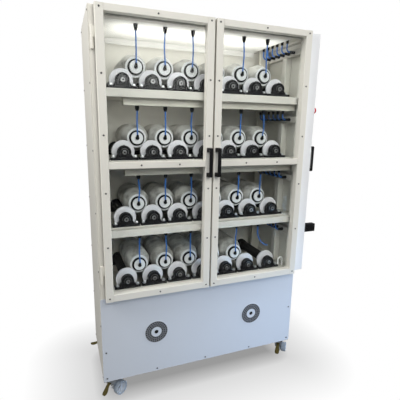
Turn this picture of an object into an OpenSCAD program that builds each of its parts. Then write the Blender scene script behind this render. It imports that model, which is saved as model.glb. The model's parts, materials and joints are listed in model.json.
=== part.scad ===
// Filament drying cabinet on castors: four tiers of driven rollers turn sealed drums of filament
// while dry air is fed to each drum, behind two glazed doors.
// The frame is drawn about the doors' centre line: X to the right, Y from the doors' front
// face into the cabinet, Z up from the floor. place() then moves it to the part's origin.

/* [Cabinet] */
// Depth from the front of the frame to the back panel
body_d = 497; // [480:1:600]
// Side of the square frame tube
tube = 40; // [36:1:42]
// Wall of the frame tube
tube_wall = 2; // [1.5:0.5:3]
// Outer corner radius of the frame tube
tube_r = 3; // [2:0.5:5]
// Thickness of the sheet panels
panel_t = 2; // [1.5:0.5:3]
// Height of the lower front panel
lower_h = 516; // [500:1:530]
// Corner radius of the lower front panel
panel_corner_r = 10; // [4:1:20]
// Gap left where pieces of the frame, the doors or the ducts are joined face to face
joint = 0.2; // [0.1:0.1:0.4]

/* [Doors] */
// Uncovered strip of frame beside each door
door_margin = 27; // [24:1:32]
// Gap between the two doors
door_gap = 10; // [6:1:14]
// Gap between the doors and the top of the cabinet
door_top_gap = 2; // [1:0.5:6]
// Thickness of a door
door_t = 40; // [36:1:44]
// Width of the stiles and rails of a door
stile_w = 40; // [36:1:46]
// Height of the middle rail of a door
mid_rail_h = 34; // [30:1:40]
// Height of the top rail of a door
top_rail_h = 33; // [30:1:40]
// Thickness of the seal behind a door
seal_t = 9; // [7:0.5:12]
// Width of the seal
seal_w = 12; // [8:1:14]
// Thickness of the panes
glass_t = 5; // [4:0.5:6]
// Overlap of a pane on the door frame
glass_lap = 16; // [10:1:18]

/* [Handles] */
// Length of a handle
handle_l = 160; // [120:1:200]
// Width of a handle's feet
handle_w = 27; // [22:1:32]
// Height of each foot along the handle
handle_foot = 24; // [18:1:30]
// How far a handle stands out
handle_proud = 40; // [34:1:50]
// Width of the grip bar
grip_w = 20; // [16:1:22]
// Thickness of the grip bar
grip_t = 13; // [10:0.5:16]
// Height of the handles' middle above the middle rail's centre
handle_raise = 7; // [0:1:30]

/* [Hinges] */
// Length of a hinge
hinge_l = 100; // [80:1:120]
// Radius of a hinge knuckle
knuckle_r = 8; // [7:0.5:9]
// Radius of a hinge pin
hinge_pin_r = 4; // [3:0.5:5]
// Radial clearance of a pin in its hole
pin_fit = 0.05; // [0.02:0.01:0.1]
// Distance of a hinge's middle from the door's top or bottom edge
hinge_inset = 144; // [100:1:200]
// Thickness of a hinge leaf
leaf_t = 3; // [2:0.5:4]

/* [Tiers] */
// Height of the lowest tier's rails above the underside
first_tier_z = 534.5; // [530:0.5:545]
// Distance between tiers
tier_pitch = 366.5; // [360:0.5:375]
// Setback of the tiers' front rails behind the frame's front
rail_setback = 8; // [6:1:12]
// Space behind the rear bearing rail for the belt drive
drive_space = 37; // [36:1:60]
// Height of the top tier, from its rails to the top of the cabinet
top_room = 361; // [340:1:420]
// Drop of a tier's front rail below its bearing rail
front_drop = 6; // [0:0.5:12]
// Thickness of the tray sheet
tray_t = 1.5; // [1:0.5:2.5]
// Setback of the middle posts of the side walls behind the frame's front
mid_post_setback = 180; // [150:5:220]

/* [Rollers] */
// Gap between neighbouring drums
drum_side_gap = 5; // [3:0.5:10]
// Room between each end of a row of rollers and the posts, past half a gap between its bearings
end_room = 42.5; // [40:0.5:70]
// Height of the roller axes above the rails
axis_h = 42; // [38:0.5:46]
// Outer radius of a roller's rubber sleeve
roller_r = 31; // [28:0.5:34]
// Radius of a roller's guide disc
disc_r = 62; // [56:0.5:63]
// Thickness of a guide disc
disc_t = 14; // [10:0.5:16]
// Radius of a roller's shaft
shaft_r = 12.5; // [10:0.5:15]
// Gap between a guide disc and the bearing rail
disc_gap = 11; // [6:1:14]
// Gap between a guide disc and the rubber sleeve
sleeve_gap = 3; // [2:0.5:6]

/* [Bearings] */
// Depth of a bearing block along the shaft
block_w = 38; // [34:1:40]
// Gap between neighbouring bearing blocks
block_gap = 7; // [4:1:14]
// Thickness of a block's foot
block_foot = 14; // [10:1:18]
// Radius of a block's housing
block_r = 36; // [30:0.5:38]
// Depth of a block's housing along the shaft
housing_w = 32; // [26:1:36]

/* [Drums] */
// Outer radius of a drum
drum_r = 75; // [70:0.5:76]
// Running gap between a drum and its rollers
drum_gap = 0.3; // [0.2:0.1:0.5]
// Wall of a drum
drum_wall = 3; // [2:0.5:5]
// Radius of the white ring at the front of a drum
neck_r = 52.5; // [48:0.5:58]
// Length of the white ring
ring_l = 12; // [6:1:20]
// Length of the sloping shoulder behind the white ring
shoulder_l = 48; // [30:1:80]
// Radius of the black collar
collar_r = 41; // [38:0.5:44]
// Radius of the cap
cap_r = 32.5; // [28:0.5:36]
// How far the cap stands in front of the collar
cap_proud = 6; // [1:0.5:8]
// Radius of the air nipple at the centre of a cap
nipple_r = 5; // [4:0.5:6]
// Length of the air nipple
nipple_l = 11; // [8:0.5:14]

/* [Air lines] */
// Height of the air channels of the middle tiers
channel_h = 42; // [36:1:46]
// Height of the air channel of the top tier
top_channel_h = 29; // [24:1:40]
// Height of the air channel of the bottom tier
bottom_channel_h = 16; // [14:1:24]
// Depth of the front air channels
channel_d = 54; // [46:1:60]
// Outer diameter of the air tubes
air_d = 8; // [6:1:10]
// Radius of the push-in fittings under the channels
fitting_r = 12; // [9:0.5:13]
// Length of the push-in fittings under the channels
fitting_l = 26; // [18:1:32]
// Height of the middle and top tiers' wall fittings below their ceilings
wall_depth = 94; // [90:1:100]
// Height of the bottom tier's wall fittings below its ceiling
bottom_wall_depth = 79; // [72:1:86]
// Distance between the wall fittings
wall_pitch = 54; // [46:1:55]
// Length of a wall fitting
wall_fitting_l = 35; // [28:1:40]
// Radius of a wall fitting
wall_fitting_r = 10; // [8:0.5:11]
// Bend radius of the short loops at the wall
loop_r = 20; // [18:1:24]
// Diameter of the white drain hose
drain_d = 10; // [8:1:12]
// Gap on each side of the white drain hose's loop
drain_gap = 2; // [1:0.5:6]
// Height of the white drain hose's straight legs
drain_rise = 42; // [30:1:60]

/* [Air dryer] */
// Width of the dryer's casing
dryer_w = 360; // [300:5:400]
// Depth of the dryer's casing
dryer_d = 300; // [240:5:320]
// Height of the dryer's casing
dryer_h = 330; // [280:5:400]
// Thickness of the sheet of casings and ducts
sheet_t = 1.5; // [1:0.5:2]
// Depth of the fan behind the left vent
fan_d = 45; // [30:1:60]

/* [Side cover] */
// Thickness of the side cover
cover_t = 62; // [54:1:70]
// Gap between the side cover and the side panel
cover_gap = 3; // [2:0.5:5]
// Wall of the side cover
cover_wall = 2; // [1.5:0.5:3]
// Radius of the stop button
button_r = 18; // [15:0.5:20]
// Travel of the stop button
button_travel = 4; // [3:0.5:6]
// Height of the stop button above the underside
button_h = 1557; // [1450:1:1650]
// How far the power inlet stands out
inlet_l = 91; // [70:1:110]
// Size of the power inlet along Z
inlet_h = 52; // [44:1:64]
// Height of the power inlet's middle above the underside
inlet_rise = 798; // [750:1:850]
// Height of the control box
control_h = 420; // [300:10:500]
// Length of the control box along Y
control_l = 300; // [240:10:320]
// Height of the control box's foot above the underside
control_rise = 1000; // [950:10:1050]

/* [Castors] */
// Height of a castor
castor_h = 135; // [130:1:145]
// Radius of a castor wheel
wheel_r = 50; // [46:1:52]
// Width of a castor wheel
wheel_w = 32; // [28:1:34]
// Trail of a castor's axle behind its swivel
trail = 36; // [30:1:40]
// Inset of the swivels from the sides
swivel_inset_x = 52; // [50:1:60]
// Inset of the swivels from the front and the back
swivel_inset_y = 39; // [38:1:50]
// Length of a brake pedal from its pin
pedal_l = 62; // [50:1:66]

/* [Vents] */
// Radius of a round vent
vent_r = 70; // [60:1:80]
// Distance of each vent from the middle
vent_x = 316; // [280:1:340]
// Height of the vents above the underside
vent_z = 260; // [200:1:300]

/* [Hidden] */
$fn = 48;
fine = 96;

// Colours
paint = [0.90, 0.89, 0.84];
cool_paint = [0.84, 0.87, 0.91];
inner_paint = [0.80, 0.79, 0.75];
black = [0.08, 0.08, 0.09];
rubber = [0.12, 0.12, 0.13];
plastic_white = [0.88, 0.88, 0.88];
tube_blue = [0.12, 0.38, 0.75];
steel = [0.68, 0.69, 0.70];
pane = [0.85, 0.92, 0.93, 0.3];
brass = [0.72, 0.56, 0.26];

// Counts that the named rollers and drums depend on
tiers = 4;
rollers = 7;
seats = rollers - 1;
bottom_drums = 5;

// Planes of the cabinet
roller_pitch = 2 * drum_r + drum_side_gap;
body_w = rollers * roller_pitch + 2 * (end_room + tube + panel_t);
body_h = first_tier_z + (tiers - 1) * tier_pitch + top_room;
half_w = body_w / 2;
base_z = castor_h;
top_z = base_z + body_h;
front_y = door_t + seal_t;
back_y = front_y + body_d;
inner_x = half_w - panel_t;
post_x = inner_x - tube;
post_back_y = back_y - panel_t;
side_rail_l = body_d - panel_t - 2 * tube;

// Doors
door_z0 = base_z + lower_h;
door_z1 = top_z - door_top_gap;
door_h = door_z1 - door_z0;
door_x0 = door_gap / 2;
door_x1 = half_w - door_margin;
door_w = door_x1 - door_x0;
mid_rail_z = tier_top(2) - mid_rail_h / 2;
handle_z = mid_rail_z + handle_raise;
handle_x = door_x0 + stile_w / 2;
hinge_gap = 5;
hinge_pin_l = hinge_l - 4;
bore_depth = hinge_l / 2 - 3;
hinge_x = door_x1 + hinge_gap + knuckle_r;
hinge_y = door_t - 2;
hinge_zs = [door_z0 + hinge_inset, door_z1 - hinge_inset];
grip_r = 5;
mullion_w = 60;
sill_h = 26;
sill_lap = 8;

// Tiers
function tier_top(k) = base_z + first_tier_z + k * tier_pitch;
function ceiling_z(k) = k < tiers - 1 ? tier_top(k + 1) - tube : top_z - panel_t;
front_rail_y = front_y + rail_setback;
bearing_rail_y = front_rail_y + tube + joint;
tray_front_y = bearing_rail_y + tube;
rear_rail_y = back_y - drive_space - tube;
rib_h = 30;
rib_setback = 330;
rib_y = front_y + rib_setback;

// Rollers, drums and their stations along Y
function roller_x(i) = (i - (rollers + 1) / 2) * roller_pitch;
function drum_x(i) = roller_x(i) + roller_pitch / 2;
function axis_z(k) = tier_top(k) + axis_h;
front_block_y = bearing_rail_y + tube / 2;
rear_block_y = rear_rail_y + tube / 2;
block_l = roller_pitch - block_gap;
block_flare = 12;
sleeve_margin = 9;
drum_margin = 7;
shaft_proud = 3;
disc_y = tray_front_y + disc_gap;
sleeve_y = disc_y + disc_t + sleeve_gap;
sleeve_end = rear_rail_y - sleeve_margin;
shaft_y = front_block_y - block_w / 2 - shaft_proud;
drum_rise = sqrt(pow(drum_r + roller_r + drum_gap, 2) - pow(roller_pitch / 2, 2));
drum_end = rear_rail_y - drum_margin;
cap_y = disc_y;
cap_seat = 4;
function drum_z(k) = axis_z(k) + drum_rise;

// Belt drive behind the rear bearings
pulley_r = 20;
flange_r = 24;
flange_t = 1.3;
belt_w = 12;
belt_t = 3;
belt_gap = 0.3;
belt_side = 2;
row_belt_y = rear_rail_y + tube + belt_side;
motor_belt_y = row_belt_y + belt_w + 2 * belt_side;
shaft_end = row_belt_y + belt_w + belt_side;
drive_shaft_end = motor_belt_y + belt_w + belt_side;
motor_size = 64;
motor_clear = 4;
motor_x = -(post_x - motor_size / 2 - motor_clear);
function motor_z(k) = tier_top(k) - tube - motor_size / 2;
motor_shaft_r = 8;
gearbox_d = 72;
gearbox_end = rear_rail_y + tube - motor_clear;
gearbox_y = gearbox_end - gearbox_d;
motor_l = 90;
motor_y = gearbox_y - motor_l;
motor_r = 28;

// Air lines
channel_lap = 15;
channel_y = tray_front_y + channel_lap - channel_d;
channel_x0 = roller_x(1);
line_y = cap_y - nipple_l;
duct_w = 80;
duct_y = channel_y + channel_d + joint;
riser_w = 60;
riser_d = 20;
riser_y = rear_rail_y - riser_d - 2;
dryer_z = base_z + panel_t;
dryer_top = dryer_z + dryer_h;
union_r = 10;
union_neck_r = 7;
union_rise = 18;
wall_setback = 10;
wall_y = tray_front_y + wall_setback;
wall_top_l = 20;
wall_top_r = 9;
function channel_height(k) =
    k == 0 ? bottom_channel_h : k == tiers - 1 ? top_channel_h : channel_h;
function channel_z(k) = ceiling_z(k) - channel_height(k);
function wall_z(k) = ceiling_z(k) - (k == 0 ? bottom_wall_depth : wall_depth);
function line_filled(k, i) = k > 0 || i <= bottom_drums;

// Loose tube at the empty seat, as offsets from the end of its fitting
spare_route = [
    [0, 0, 0], [0, 0, -12], [0, 0, -24], [0, 0, -36], [1, 0, -47], [3, 0, -58], [7, 0, -70],
    [12, 0, -81], [18, 0, -91], [25, 0, -101], [33, 0, -110], [41, 0, -118], [50, 0, -125],
    [59, 0, -130], [69, 0, -134], [79, 0, -136]
];

// Round vents: rings of holes inside a plain rim, about one larger hole, over a black filter
vent_rings = 3;
vent_rim = 9;
vent_step = 11.5;
vent_hole_r = 4.8;
vent_hub_r = 12;
vent_lap = 3;
vent_bore_r = vent_r - vent_lap;
function vent_holes(n) = 30 - 5 * n;

// Side cover
cover_x0 = half_w + cover_gap;
cover_x1 = cover_x0 + cover_t;
cover_hinge_r = 7;
control_setback = 27;
cover_hinge_x = half_w + cover_hinge_r + 1;
cover_hinge_y = back_y - cover_hinge_r - 1;
cover_y1 = cover_hinge_y - cover_hinge_r - 1;
cover_control_y = front_y + control_setback;
cover_hinge_inset = 200;
cover_hinge_zs = [door_z0 + cover_hinge_inset, (door_z0 + door_z1) / 2, door_z1 - cover_hinge_inset];
button_z = base_z + button_h;
button_head = 14;
button_collar = 8;
button_stem_r = 8;
button_rim = 3;
inlet_z = base_z + inlet_rise;
inlet_w = 40;
inlet_y = front_y + 8;

// Castors
swivel_x = half_w - swivel_inset_x;
front_swivel_y = front_y + swivel_inset_y;
rear_swivel_y = back_y - swivel_inset_y;
castor_plate_t = 4;
castor_plate = [100, 2 * swivel_inset_y - 2];
race_r = 29;
race_h = 9;
swivel_gap = 0.5;
kingpin_r = 7;
axle_r = 5;
cheek_t = 4;
cheek_gap = 1.5;
fork_head_h = 12;
fork_z = base_z - castor_plate_t - race_h - swivel_gap - fork_head_h;
cheek_edge = 8;
cheek_foot = 10;
axle_edge = 11;
pedal_pin_r = 3;
pedal_x = -20;
pedal_z = fork_z - cheek_edge - 1;
pedal_w = 26;
pedal_t = 4;
pedal_eye_r = 6;
pedal_arm_l = 22;
pedal_toe_l = 18;
pedal_drop = 4;
// Each castor: side, front or rear, heading of the wheel, slope of the pedal at rest
castors = [
    [-1, front_swivel_y, 35, 45],
    [1, front_swivel_y, 50, 40],
    [-1, rear_swivel_y, 0, 0],
    [1, rear_swivel_y, 180, 0]
];

// Extent of the whole part, from which its origin is placed
min_x = -(swivel_x - pedal_x + pedal_l);
max_x = cover_x1 + inlet_l;
min_y = -handle_proud;
max_y = back_y;
function origin_shift() = [-(min_x + max_x) / 2, -(min_y + max_y) / 2, 0];

module place() {
    translate(origin_shift()) children();
}

// ---- Shapes that repeat ----

module rounded_rect(w, h, r) {
    square_w = w - 2 * r;
    square_h = h - 2 * r;
    translate([r, 0]) square([square_w, h]);
    translate([0, r]) square([w, square_h]);
    for (x = [r, w - r], y = [r, h - r]) translate([x, y]) circle(r);
}

// Square tube along Z, open at both ends
module tube_z(l, w = tube, d = tube) {
    linear_extrude(l) difference() {
        rounded_rect(w, d, tube_r);
        translate([tube_wall, tube_wall]) square([w - 2 * tube_wall, d - 2 * tube_wall]);
    }
}

// Square tube along Z, open at its foot and closed at its head
module capped_tube_z(l, w, d) {
    difference() {
        linear_extrude(l) rounded_rect(w, d, tube_r);
        translate([tube_wall, tube_wall, -1])
            cube([w - 2 * tube_wall, d - 2 * tube_wall, l + 1 - tube_wall]);
    }
}

// Square tube along X between two uprights at x0 and x1
module tube_x(x0, x1, y, z, d = tube, h = tube) {
    translate([x0 + joint, y, z]) rotate([90, 0, 90]) tube_z(x1 - x0 - 2 * joint, d, h);
}

// Square tube along Y between two uprights at y0 and y1
module tube_y(y0, y1, x, z) {
    translate([x + tube, y0 + joint, z]) rotate([90, 0, 180]) tube_z(y1 - y0 - 2 * joint);
}

// Closed box of sheet metal, hollow inside
module sheet_box(size) {
    difference() {
        cube(size);
        translate([sheet_t, sheet_t, sheet_t])
            cube([size[0] - 2 * sheet_t, size[1] - 2 * sheet_t, size[2] - 2 * sheet_t]);
    }
}

// Cylinder along Y from y0 to y1
module rod_y(x, y0, y1, z, r, fn = $fn) {
    translate([x, y0, z]) rotate([-90, 0, 0]) cylinder(h = y1 - y0, r = r, $fn = fn);
}

// Tube swept along a route of points, with a ring of sides at each point
module swept(route, r, sides = 8) {
    n = len(route);
    function heading(i) =
        let (a = route[max(i - 1, 0)], b = route[min(i + 1, n - 1)], v = b - a) v / norm(v);
    function ring(i) =
        let (t = heading(i), u = cross(t, [0, 1, 0]), a = u / norm(u), b = cross(t, a))
        [for (s = [0 : sides - 1]) route[i] + r * (cos(360 * s / sides) * a + sin(360 * s / sides) * b)];
    points = [for (i = [0 : n - 1]) each ring(i)];
    walls = [
        for (i = [0 : n - 2], s = [0 : sides - 1])
            [i * sides + s, (i + 1) * sides + s, (i + 1) * sides + (s + 1) % sides,
             i * sides + (s + 1) % sides]
    ];
    start = [for (s = [0 : sides - 1]) s];
    finish = [for (s = [0 : sides - 1]) n * sides - 1 - s];
    polyhedron(points, concat([start], walls, [finish]), convexity = 4);
}

// ---- Frame ----

module uprights() {
    post_h = body_h - 2 * panel_t;
    color(inner_paint) {
        for (x = [-inner_x, post_x], y = [front_y, post_back_y - tube])
            translate([x, y, base_z + panel_t]) tube_z(post_h);
        for (x = [-inner_x, post_x], k = [0 : tiers - 1]) {
            low = tier_top(k);
            high = wall_z(k) - tube / 2;
            translate([x, front_y + mid_post_setback, low]) tube_z(high - low);
        }
    }
}

module ring_rails(z) {
    tube_x(-post_x, post_x, front_y, z);
    tube_x(-post_x, post_x, post_back_y - tube, z);
    side_rails(z);
}

module side_rails(z) {
    for (x = [-inner_x, post_x]) tube_y(front_y + tube, post_back_y - tube, x, z);
}

module frame_rails() {
    color(paint) {
        ring_rails(base_z + panel_t);
        ring_rails(top_z - panel_t - tube);
        tube_x(-post_x, post_x - duct_w, rib_y, top_z - panel_t - rib_h, tube, rib_h);
        for (k = [0 : tiers - 1]) {
            z = tier_top(k) - tube;
            tube_x(-post_x, post_x, front_rail_y, z - front_drop);
            for (y = [bearing_rail_y, rear_rail_y]) tube_x(-post_x, post_x, y, z);
            side_rails(z);
            side_rails(wall_z(k) - tube / 2);
        }
    }
    door_stops();
}

// Flat bars that the seals of the doors close against
module door_stops() {
    bar_t = rail_setback - joint;
    sill_z = door_z0 - sill_lap;
    mullion_z = sill_z + sill_h + joint;
    color(paint) {
        translate([-post_x + joint, front_y, sill_z]) cube([2 * (post_x - joint), bar_t, sill_h]);
        translate([-mullion_w / 2, front_y, mullion_z])
            cube([mullion_w, bar_t, top_z - panel_t - tube - joint - mullion_z]);
    }
}

module tier_trays() {
    tray_d = rear_rail_y - tray_front_y;
    color(inner_paint)
        for (k = [0 : tiers - 1])
            translate([-post_x, tray_front_y, tier_top(k) - tube])
                difference() {
                    cube([2 * post_x, tray_d, tray_t]);
                    translate([2 * post_x - riser_w - 1, riser_y - tray_front_y - 1, -1])
                        cube([riser_w + 2, riser_d + 2, tray_t + 2]);
                }
}

module side_skin(x) {
    color(paint)
        translate([x, front_y, base_z]) cube([panel_t, body_d, body_h - panel_t]);
}

module left_side_panel() {
    side_skin(-half_w);
}

module right_side_panel() {
    side_skin(inner_x);
}

module back_panel() {
    color(paint)
        translate([-inner_x, post_back_y, base_z + panel_t])
            cube([2 * inner_x, panel_t, body_h - 2 * panel_t]);
}

module top_panel() {
    color(paint) {
        translate([-half_w, front_y, top_z - panel_t]) cube([body_w, body_d, panel_t]);
        ceiling_lining();
    }
}

// Sheet between the top frame rails, folded down at the back, with holes for the air fittings
module ceiling_lining() {
    fold_h = 32;
    low = top_z - panel_t - tube;
    y0 = front_y + tube + joint;
    y1 = post_back_y - tube - joint;
    length = 2 * post_x - duct_w - 2 * joint;
    translate([-post_x + joint, y1 - panel_t, low - fold_h]) cube([length, panel_t, fold_h + panel_t]);
    difference() {
        translate([-post_x + joint, y0, low]) cube([length, y1 - y0, panel_t]);
        for (i = [1 : seats])
            translate([drum_x(i), line_y, low - 1]) cylinder(h = panel_t + 2, r = fitting_r + 1);
    }
}

module base_panel() {
    color(paint)
        translate([-inner_x, front_y, base_z]) cube([2 * inner_x, body_d, panel_t]);
}

module lower_front_panel() {
    color(cool_paint)
        translate([-half_w, front_y, base_z]) rotate([90, 0, 0])
            difference() {
                linear_extrude(panel_t) rounded_rect(body_w, lower_h, panel_corner_r);
                for (x = [half_w - vent_x, half_w + vent_x])
                    translate([x, vent_z, -1]) cylinder(h = panel_t + 2, r = vent_bore_r, $fn = fine);
            }
}

module vent_grille() {
    difference() {
        cylinder(h = panel_t, r = vent_r, $fn = fine);
        for (n = [0 : vent_rings - 1], a = [0 : 360 / vent_holes(n) : 359])
            rotate(a + n * 5) translate([vent_r - vent_rim - n * vent_step, 0, -1])
                cylinder(h = panel_t + 2, r = vent_hole_r, $fn = 16);
        translate([0, 0, -1]) cylinder(h = panel_t + 2, r = vent_hub_r);
    }
}

module vent_grilles() {
    z = base_z + vent_z;
    for (x = [-vent_x, vent_x]) {
        color(cool_paint) translate([x, front_y - panel_t, z]) rotate([90, 0, 0]) vent_grille();
        color(black)
            rod_y(x, front_y - panel_t + joint, front_y - joint, z, vent_bore_r - joint, fine);
    }
}

// ---- Bearings, rollers and drums ----

module bearing_block(x, y, z) {
    skirt = block_r + block_flare;
    waist_drop = 6;
    waist = sqrt(pow(block_r, 2) - pow(waist_drop, 2));
    translate([x, y + housing_w / 2, z]) rotate([90, 0, 0])
        linear_extrude(housing_w) difference() {
            union() {
                circle(block_r, $fn = fine);
                polygon([[-skirt, block_foot - axis_h], [skirt, block_foot - axis_h],
                         [waist, -waist_drop], [-waist, -waist_drop]]);
            }
            circle(shaft_r + pin_fit, $fn = fine);
        }
    translate([x - block_l / 2, y - block_w / 2, z - axis_h]) cube([block_l, block_w, block_foot]);
}

module bearing_blocks() {
    color(black)
        for (k = [0 : tiers - 1], i = [1 : rollers], y = [front_block_y, rear_block_y])
            bearing_block(roller_x(i), y, axis_z(k));
}

// Pulley with a flange on its inner side, fitted on a shaft of radius r
module pulley(x, y, z, r) {
    translate([x, y - flange_t, z]) rotate([-90, 0, 0]) difference() {
        union() {
            cylinder(h = flange_t - belt_gap, r = flange_r);
            cylinder(h = belt_w + flange_t, r = pulley_r);
        }
        translate([0, 0, -1]) cylinder(h = belt_w + flange_t + 2, r = r + pin_fit);
    }
}

module roller_shaft(x, z, drive) {
    color(steel) {
        rod_y(x, shaft_y, drive ? drive_shaft_end : shaft_end, z, shaft_r);
        pulley(x, row_belt_y, z, shaft_r);
        if (drive) pulley(x, motor_belt_y, z, shaft_r);
    }
}

module roller_sleeve(x, z) {
    color(rubber) difference() {
        rod_y(x, sleeve_y, sleeve_end, z, roller_r);
        rod_y(x, sleeve_y - 1, sleeve_end + 1, z, shaft_r + pin_fit);
    }
}

module guide_disc(x, z) {
    edge = 3;
    bore = shaft_r + pin_fit;
    color(plastic_white) translate([x, disc_y, z]) rotate([-90, 0, 0])
        rotate_extrude($fn = fine)
            polygon([[bore, 0], [disc_r - edge, 0], [disc_r, edge], [disc_r, disc_t], [bore, disc_t]]);
}

module roller(i, k) {
    roller_shaft(roller_x(i), axis_z(k), i == 1);
    roller_sleeve(roller_x(i), axis_z(k));
    guide_disc(roller_x(i), axis_z(k));
}

module upper_rollers() {
    for (k = [1 : tiers - 1], i = [1 : rollers]) roller(i, k);
}

module drum_shell() {
    edge = 8;
    length = drum_end - sleeve_y;
    back = length - drum_wall;
    mouth = collar_r + joint;
    waist = ring_l + shoulder_l;
    color(plastic_white) rotate_extrude($fn = fine)
        polygon([
            [mouth, 0], [neck_r, 0], [neck_r, ring_l], [drum_r, waist], [drum_r, length - edge],
            [drum_r - edge, length], [0, length], [0, back],
            [drum_r - edge - 1, back], [drum_r - drum_wall, length - edge - 1],
            [drum_r - drum_wall, waist + 1], [neck_r - drum_wall, ring_l + 1],
            [neck_r - drum_wall, drum_wall], [mouth, drum_wall]
        ]);
}

// Collar that plugs the mouth of a drum, with a recess for the cap
module drum_collar() {
    depth = sleeve_y - cap_y - cap_proud;
    color(black) translate([0, 0, -depth]) difference() {
        cylinder(h = depth + drum_wall, r = collar_r, $fn = fine);
        translate([0, 0, -1]) cylinder(h = cap_seat + 1, r = cap_r + joint, $fn = fine);
    }
}

module drum_cap() {
    depth = sleeve_y - cap_y;
    color(plastic_white) translate([0, 0, -depth]) {
        cylinder(h = cap_proud + cap_seat - joint, r = cap_r, $fn = fine);
        translate([0, 0, -nipple_l]) cylinder(h = nipple_l, r = nipple_r);
    }
}

module drum(i, k) {
    translate([drum_x(i), sleeve_y, drum_z(k)]) rotate([-90, 0, 0]) {
        drum_shell();
        drum_collar();
        drum_cap();
    }
}

module upper_drums() {
    for (k = [1 : tiers - 1], i = [1 : seats]) drum(i, k);
}

// Elbow that stays still while the nipple of a cap turns inside it
module rotary_union(x, z) {
    difference() {
        union() {
            rod_y(x, line_y - union_r, cap_y - drum_gap, z, union_r);
            translate([x, line_y, z]) cylinder(h = union_rise, r = union_neck_r);
        }
        rod_y(x, cap_y - nipple_l - drum_gap, cap_y + 1, z, nipple_r + pin_fit);
    }
}

module rotary_unions() {
    color(black)
        for (k = [0 : tiers - 1], i = [1 : seats])
            if (line_filled(k, i)) rotary_union(drum_x(i), drum_z(k));
}

// ---- Air lines ----

module air_channels() {
    color(inner_paint) {
        for (k = [0 : tiers - 1]) {
            translate([channel_x0, channel_y, channel_z(k)])
                sheet_box([post_x - channel_x0, channel_d, channel_height(k)]);
            translate([post_x - duct_w, duct_y, channel_z(k)])
                sheet_box([duct_w, riser_y - joint - duct_y, channel_height(k)]);
        }
        translate([post_x - riser_w, riser_y, dryer_top])
            sheet_box([riser_w, riser_d, top_z - panel_t - dryer_top]);
    }
}

module push_in_fittings() {
    color(black)
        for (k = [0 : tiers - 1]) {
            for (i = [1 : seats])
                translate([drum_x(i), line_y, channel_z(k) - fitting_l])
                    cylinder(h = fitting_l, r = fitting_r);
            for (j = [0 : seats - 1]) {
                y = wall_y + j * wall_pitch;
                translate([post_x, y, wall_z(k)]) rotate([0, -90, 0])
                    cylinder(h = wall_fitting_l, r = wall_fitting_r);
                translate([post_x - wall_fitting_l - loop_r, y, channel_z(k) - wall_top_l])
                    cylinder(h = wall_top_l, r = wall_top_r);
            }
        }
}

module drop_tube(k, i) {
    low = drum_z(k) + union_rise;
    translate([drum_x(i), line_y, low])
        cylinder(h = channel_z(k) - fitting_l - low, r = air_d / 2, $fn = 24);
}

module wall_loop(k, j) {
    x = post_x - wall_fitting_l;
    rise = channel_z(k) - wall_z(k) - loop_r - wall_top_l;
    translate([x, wall_y + j * wall_pitch, wall_z(k) + loop_r]) {
        rotate([90, 0, 0]) rotate(180) rotate_extrude(angle = 90, $fn = 24)
            translate([loop_r, 0]) circle(air_d / 2, $fn = 16);
        translate([-loop_r, 0, 0]) cylinder(h = rise, r = air_d / 2, $fn = 16);
    }
}

module air_tubes() {
    color(tube_blue)
        for (k = [0 : tiers - 1]) {
            for (i = [1 : seats]) if (line_filled(k, i)) drop_tube(k, i);
            for (j = [0 : seats - 1]) wall_loop(k, j);
        }
}

module spare_tube() {
    start = [drum_x(seats), line_y, channel_z(0) - fitting_l];
    color(tube_blue) swept([for (p = spare_route) start + p], air_d / 2);
}

module drain_hose() {
    room = end_room + block_gap / 2;
    bend = (room - drain_d) / 2 - drain_gap;
    x = post_x - room / 2;
    color(plastic_white) translate([x, front_block_y, tier_top(0)]) {
        for (side = [-bend, bend])
            translate([side, 0, 0]) cylinder(h = drain_rise, r = drain_d / 2, $fn = 24);
        translate([0, 0, drain_rise]) rotate([90, 0, 0]) rotate_extrude(angle = 180, $fn = 32)
            translate([bend, 0]) circle(drain_d / 2, $fn = 24);
    }
}

// Dryer on the base panel, with its intake duct at the right vent and a fan at the left one
module air_dryer() {
    dryer_y = riser_y + riser_d - dryer_d;
    duct_r = vent_bore_r - joint;
    color(steel) {
        translate([post_x - dryer_w, dryer_y, dryer_z]) sheet_box([dryer_w, dryer_d, dryer_h]);
        difference() {
            rod_y(vent_x, front_y, dryer_y - joint, base_z + vent_z, duct_r);
            rod_y(vent_x, front_y - 1, dryer_y, base_z + vent_z, duct_r - sheet_t);
        }
        rod_y(-vent_x, front_y, front_y + fan_d, base_z + vent_z, duct_r);
    }
}

module control_box() {
    control_clear = 14;
    control_d = cover_t - control_clear;
    control_y = front_y + (body_d - control_l) / 2;
    color(steel)
        translate([half_w, control_y, base_z + control_rise])
            sheet_box([control_d, control_l, control_h]);
}

// ---- Belt drive ----

module gear_motor(k) {
    z = motor_z(k);
    translate([motor_x - motor_size / 2, gearbox_y, z - motor_size / 2])
        cube([motor_size, gearbox_d, motor_size]);
    rod_y(motor_x, motor_y, gearbox_y - joint, z, motor_r);
    rod_y(motor_x, gearbox_end + joint, drive_shaft_end, z, motor_shaft_r);
    pulley(motor_x, motor_belt_y, z, motor_shaft_r);
}

module gear_motors() {
    color(steel) for (k = [0 : tiers - 1]) gear_motor(k);
}

// Flat loop of belt round two pulleys a distance apart, lying along X
module belt_loop(l) {
    inner = pulley_r + belt_gap;
    outer = inner + belt_t;
    linear_extrude(belt_w) difference() {
        union() {
            translate([0, -outer]) square([l, 2 * outer]);
            for (x = [0, l]) translate([x, 0]) circle(outer);
        }
        translate([0, -inner]) square([l, 2 * inner]);
        for (x = [0, l]) translate([x, 0]) circle(inner);
    }
}

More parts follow.
